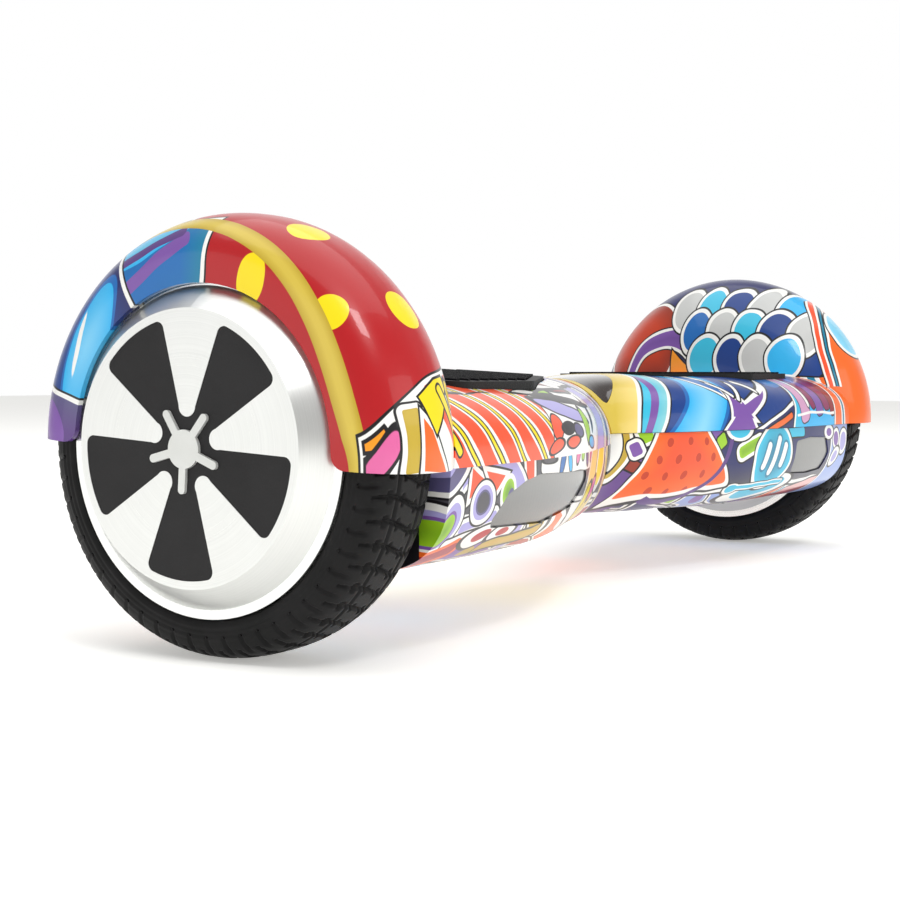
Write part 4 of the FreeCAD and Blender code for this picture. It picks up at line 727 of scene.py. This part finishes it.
def circuit_board(name):
    shader = Shader(name)
    point = shader.millimetres()
    traces = shader.add("TexBrick", {"Vector": point, "Scale": 0.35, "Mortar Size": 0.05,
                                     "Color1": colour("1E6B3A"), "Color2": colour("1A5C33"), "Mortar": colour("3E9A58")})
    speck = shader.noise(point, 0.8, 2.0).outputs["Fac"]
    shader.principled({"Base Color": traces.outputs["Color"], "Roughness": shader.between(speck, 0.3, 0.5),
                       "Normal": shader.bump(speck, 0.15, 0.0003)})
    return shader.material


def dress(material, *names):
    """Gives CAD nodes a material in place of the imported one."""
    for name in names:
        mesh = nodes_by_name[name].data
        mesh.materials.clear()
        mesh.materials.append(material)


# ------------------------------------------------------------------------------ tyres
TREAD_PITCHES = 54
COLUMNS_PER_PITCH = 16
GROOVE_DEPTH = 1.9


def smooth_edge(distance, half_width, soft=0.35):
    """1 inside a groove of that half width, 0 outside, with a short slope between."""
    return np.clip((half_width + soft - np.abs(distance)) / soft, 0.0, 1.0)


def tyre_section(half_width, radius):
    """Points of the tyre's section as (across, radius), from bead to bead and closed inside, in mm."""
    shoulder = radius - 14.3
    points = [(-half_width + 4.2, 65.9), (-half_width + 1.2, 66.0), (-half_width + 0.2, 67.2)]
    count = 76
    for i in range(count + 1):
        angle = math.pi * i / count
        c, s = math.cos(angle), math.sin(angle)
        reach = (abs(c) ** 3.2 + abs(s) ** 3.2) ** (-1 / 3.2)
        points.append((-half_width * reach * c, shoulder + (radius - shoulder) * reach * s))
    points += [(half_width - 0.2, 67.2), (half_width - 1.2, 66.0), (half_width - 4.2, 65.9)]
    points += [(half_width - 6, 64.2), (0, 63.9), (-half_width + 6, 64.2)]
    return np.array(points)


def build_tyre(side, material):
    """A tyre with raised side ribs, shoulder sipes and curved cross grooves, as real geometry."""
    low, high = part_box(f"{side}_tyre")
    half_width = (high.x - low.x) / 2 / MM
    radius = (high.z - low.z) / 2 / MM
    section = tyre_section(half_width, radius)
    columns = TREAD_PITCHES * COLUMNS_PER_PITCH
    turn = np.arange(columns) / columns
    across = section[:, 0][None, :]
    height = section[:, 1][None, :]
    pitch = 2 * math.pi * radius / TREAD_PITCHES
    curve = 0.30 * np.sin(across / half_width * math.pi * 0.9) * (1 if side == "left" else -1)
    phase = (turn[:, None] * TREAD_PITCHES + curve) % 1.0 - 0.5
    along = phase * pitch
    half_step = (((turn[:, None] * TREAD_PITCHES + curve + 0.5) % 1.0) - 0.5) * pitch
    tread = smooth_edge(height - 85, 85 - (radius - 6.3), 0.6)
    groove = smooth_edge(along, 0.55) * smooth_edge(across, 18.2) * tread
    for offset in (-12.2, -4.2, 4.2, 12.2):
        tick = smooth_edge(across - offset, 0.36) * smooth_edge(along, 2.2) * tread
        groove = np.maximum(groove, tick)
    for offset in (-8.2, 8.2):
        groove = np.maximum(groove, 0.7 * smooth_edge(across - offset, 0.30) * tread)
    sipe = smooth_edge(half_step, 0.7) * smooth_edge(height - (radius - 6.0), 3.0)
    groove = np.maximum(groove, 0.8 * sipe * smooth_edge(np.abs(across) - half_width, 6.5))
    ribs = np.zeros_like(height)
    for place in (69.0, 71.2, 73.4):
        ribs = np.maximum(ribs, smooth_edge(height - place, 0.35, 0.4))
    ribs = ribs * smooth_edge(np.abs(across) - half_width, 1.6)
    depth = groove * GROOVE_DEPTH
    rows = section.shape[0]
    reach = np.broadcast_to(height, (columns, rows)) - depth
    sideways = across * (1 - 0.014 * (1 - ribs) * smooth_edge(np.abs(across) - half_width, 2.2))
    angle = turn[:, None] * 2 * math.pi
    points = np.empty((columns, rows, 3))
    points[..., 0] = wheel[side].x + np.broadcast_to(sideways, (columns, rows)) * MM
    points[..., 1] = wheel[side].y + reach * np.sin(angle) * MM
    points[..., 2] = wheel[side].z + reach * np.cos(angle) * MM
    ring, spot = np.meshgrid(np.arange(columns), np.arange(rows), indexing="ij")
    next_ring, next_spot = (ring + 1) % columns, (spot + 1) % rows
    quads = np.stack([ring * rows + spot, next_ring * rows + spot,
                      next_ring * rows + next_spot, ring * rows + next_spot], axis=-1).reshape(-1, 4)
    mesh = bpy.data.meshes.new(f"{side}_tread")
    mesh.from_pydata(points.reshape(-1, 3).tolist(), [], quads.tolist())
    mesh.polygons.foreach_set("use_smooth", [True] * len(mesh.polygons))
    mesh.update()
    mesh.materials.append(material)
    tyre = bpy.data.objects.new(f"{side}_tread", mesh)
    bpy.context.scene.collection.objects.link(tyre)
    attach(tyre, f"{side}_wheel")
    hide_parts(f"{side}_tyre")


# ------------------------------------------------------------------------------ the whole board
def dress_everything():
    dress(left_upper_print(), "left_upper_shell")
    dress(left_lower_print(), "left_lower_shell")
    dress(right_upper_print(), "right_upper_shell")
    dress(right_lower_print(), "right_lower_shell")
    steel = moulded("ground_steel", "B9BBBD", 0.3, 2.0, 0.1, "A5A7AA", metallic=1.0)
    zinc = moulded("zinc_screws", "9FA2A6", 0.35, 2.4, 0.2, "84878B", metallic=1.0)
    cast = moulded("cast_aluminium", "8C8F93", 0.5, 0.9, 0.5, "74777B", metallic=0.9)
    copper = moulded("copper_wire", "B4622D", 0.35, 1.8, 0.6, "94481D", metallic=1.0, coat=0.5)
    iron = moulded("laminations", "4C4F53", 0.45, 3.0, 0.5, "3A3D41", metallic=0.9)
    magnet = moulded("magnets", "5E6166", 0.4, 1.4, 0.2, "4A4D52", metallic=0.8)
    board = circuit_board("circuit_board")
    lead = moulded("cable_jacket", "1C1C1E", 0.45, 1.4, 0.2, "29292C")
    bush = moulded("bronze_bush", "B08D4A", 0.4, 1.6, 0.3, "92733A", metallic=1.0)
    charcoal = moulded("petal_plastic", "232223", 0.5, 2.6, 0.35, "1C1B1C")
    light_cap = moulded("satin_cap", "DADBD8", 0.32, 2.2, 0.1, "CFD0CC", metallic=0.35)
    dark_lens = smoked_lens("headlight_smoke", "7B7C79", "343434", 0.3)
    window = smoked_lens("window_smoke", "24150E", "0D0806", 0.08)
    mat_rubber = moulded("mat_rubber", "151516", 0.5, 1.1, 0.5, "101011")
    battery = moulded("battery_wrap", "1E4FA0", 0.35, 0.4, 0.3, "17418A", coat=0.4)
    for side in ("left", "right"):
        cover = spun_metal(f"{side}_spun_face", "E2E3E0", 0.30, wheel[side], 2.6, 0.85)
        rim = spun_metal(f"{side}_rim_metal", "ECEDEB", 0.2, wheel[side], 1.5, 0.9, 0.05)
        dress(cover, f"{side}_hub_cover")
        dress(rim, f"{side}_wheel_rim")
        inner = spun_metal(f"{side}_inner_metal", "CFD0CE", 0.4, wheel[side], 1.8, 0.6)
        dress(inner, f"{side}_inner_cover")
        dress(charcoal, f"{side}_hub_inlay")
        dress(light_cap, f"{side}_hub_cap")
        dress(magnet, f"{side}_motor_magnets")
        dress(iron, f"{side}_stator_core")
        dress(copper, f"{side}_stator_windings")
        dress(steel, f"{side}_axle", f"{side}_wheel_bearings")
        dress(zinc, f"{side}_cover_screws", f"{side}_clamp_screws", f"{side}_shell_screws")
        dress(cast, f"{side}_chassis", f"{side}_axle_clamp")
        dress(dark_lens, f"{side}_headlight_lens")
        dress(window, f"{side}_indicator_lens")
        dress(board, f"{side}_headlight_board", f"{side}_sensor_board")
        dress(mat_rubber, f"{side}_foot_mat")
        dress(lead, f"{side}_motor_cable")
    dress(steel, "pivot_tube", "pivot_stop_pin", "pivot_rings")
    dress(bush, "pivot_bushes")
    dress(battery, "battery_pack")
    dress(mat_rubber, "battery_straps", "charge_cap")
    dress(board, "main_board")
    dress(cast, "heat_sink")
    dress(charcoal, "charge_socket", "switch_body")
    dress(moulded("button_plastic", "C9CACB", 0.3, 1.8, 0.15, "BBBCBE", coat=0.4), "power_button")


def tyre_rubber():
    shader = Shader("tyre_rubber")
    point = shader.millimetres()
    grain = shader.noise(point, 2.4, 5.0, 0.65).outputs["Fac"]
    dust = shader.noise(point, 0.06, 4.0, 0.6).outputs["Fac"]
    shade = shader.ramp(dust, [(0.35, colour("121212")), (0.7, colour("1C1B1C"))]).outputs["Color"]
    shader.principled({
        "Base Color": shade, "Roughness": shader.between(grain, 0.42, 0.62), "Specular IOR Level": 0.16,
        "Normal": shader.bump(grain, 0.22, 0.0003),
    })
    return shader.material


bpy.context.scene.view_settings.view_transform = "Standard"
make_camera()
make_studio()
dress_everything()
rubber = tyre_rubber()
for wheel_side in ("left", "right"):
    build_tyre(wheel_side, rubber)
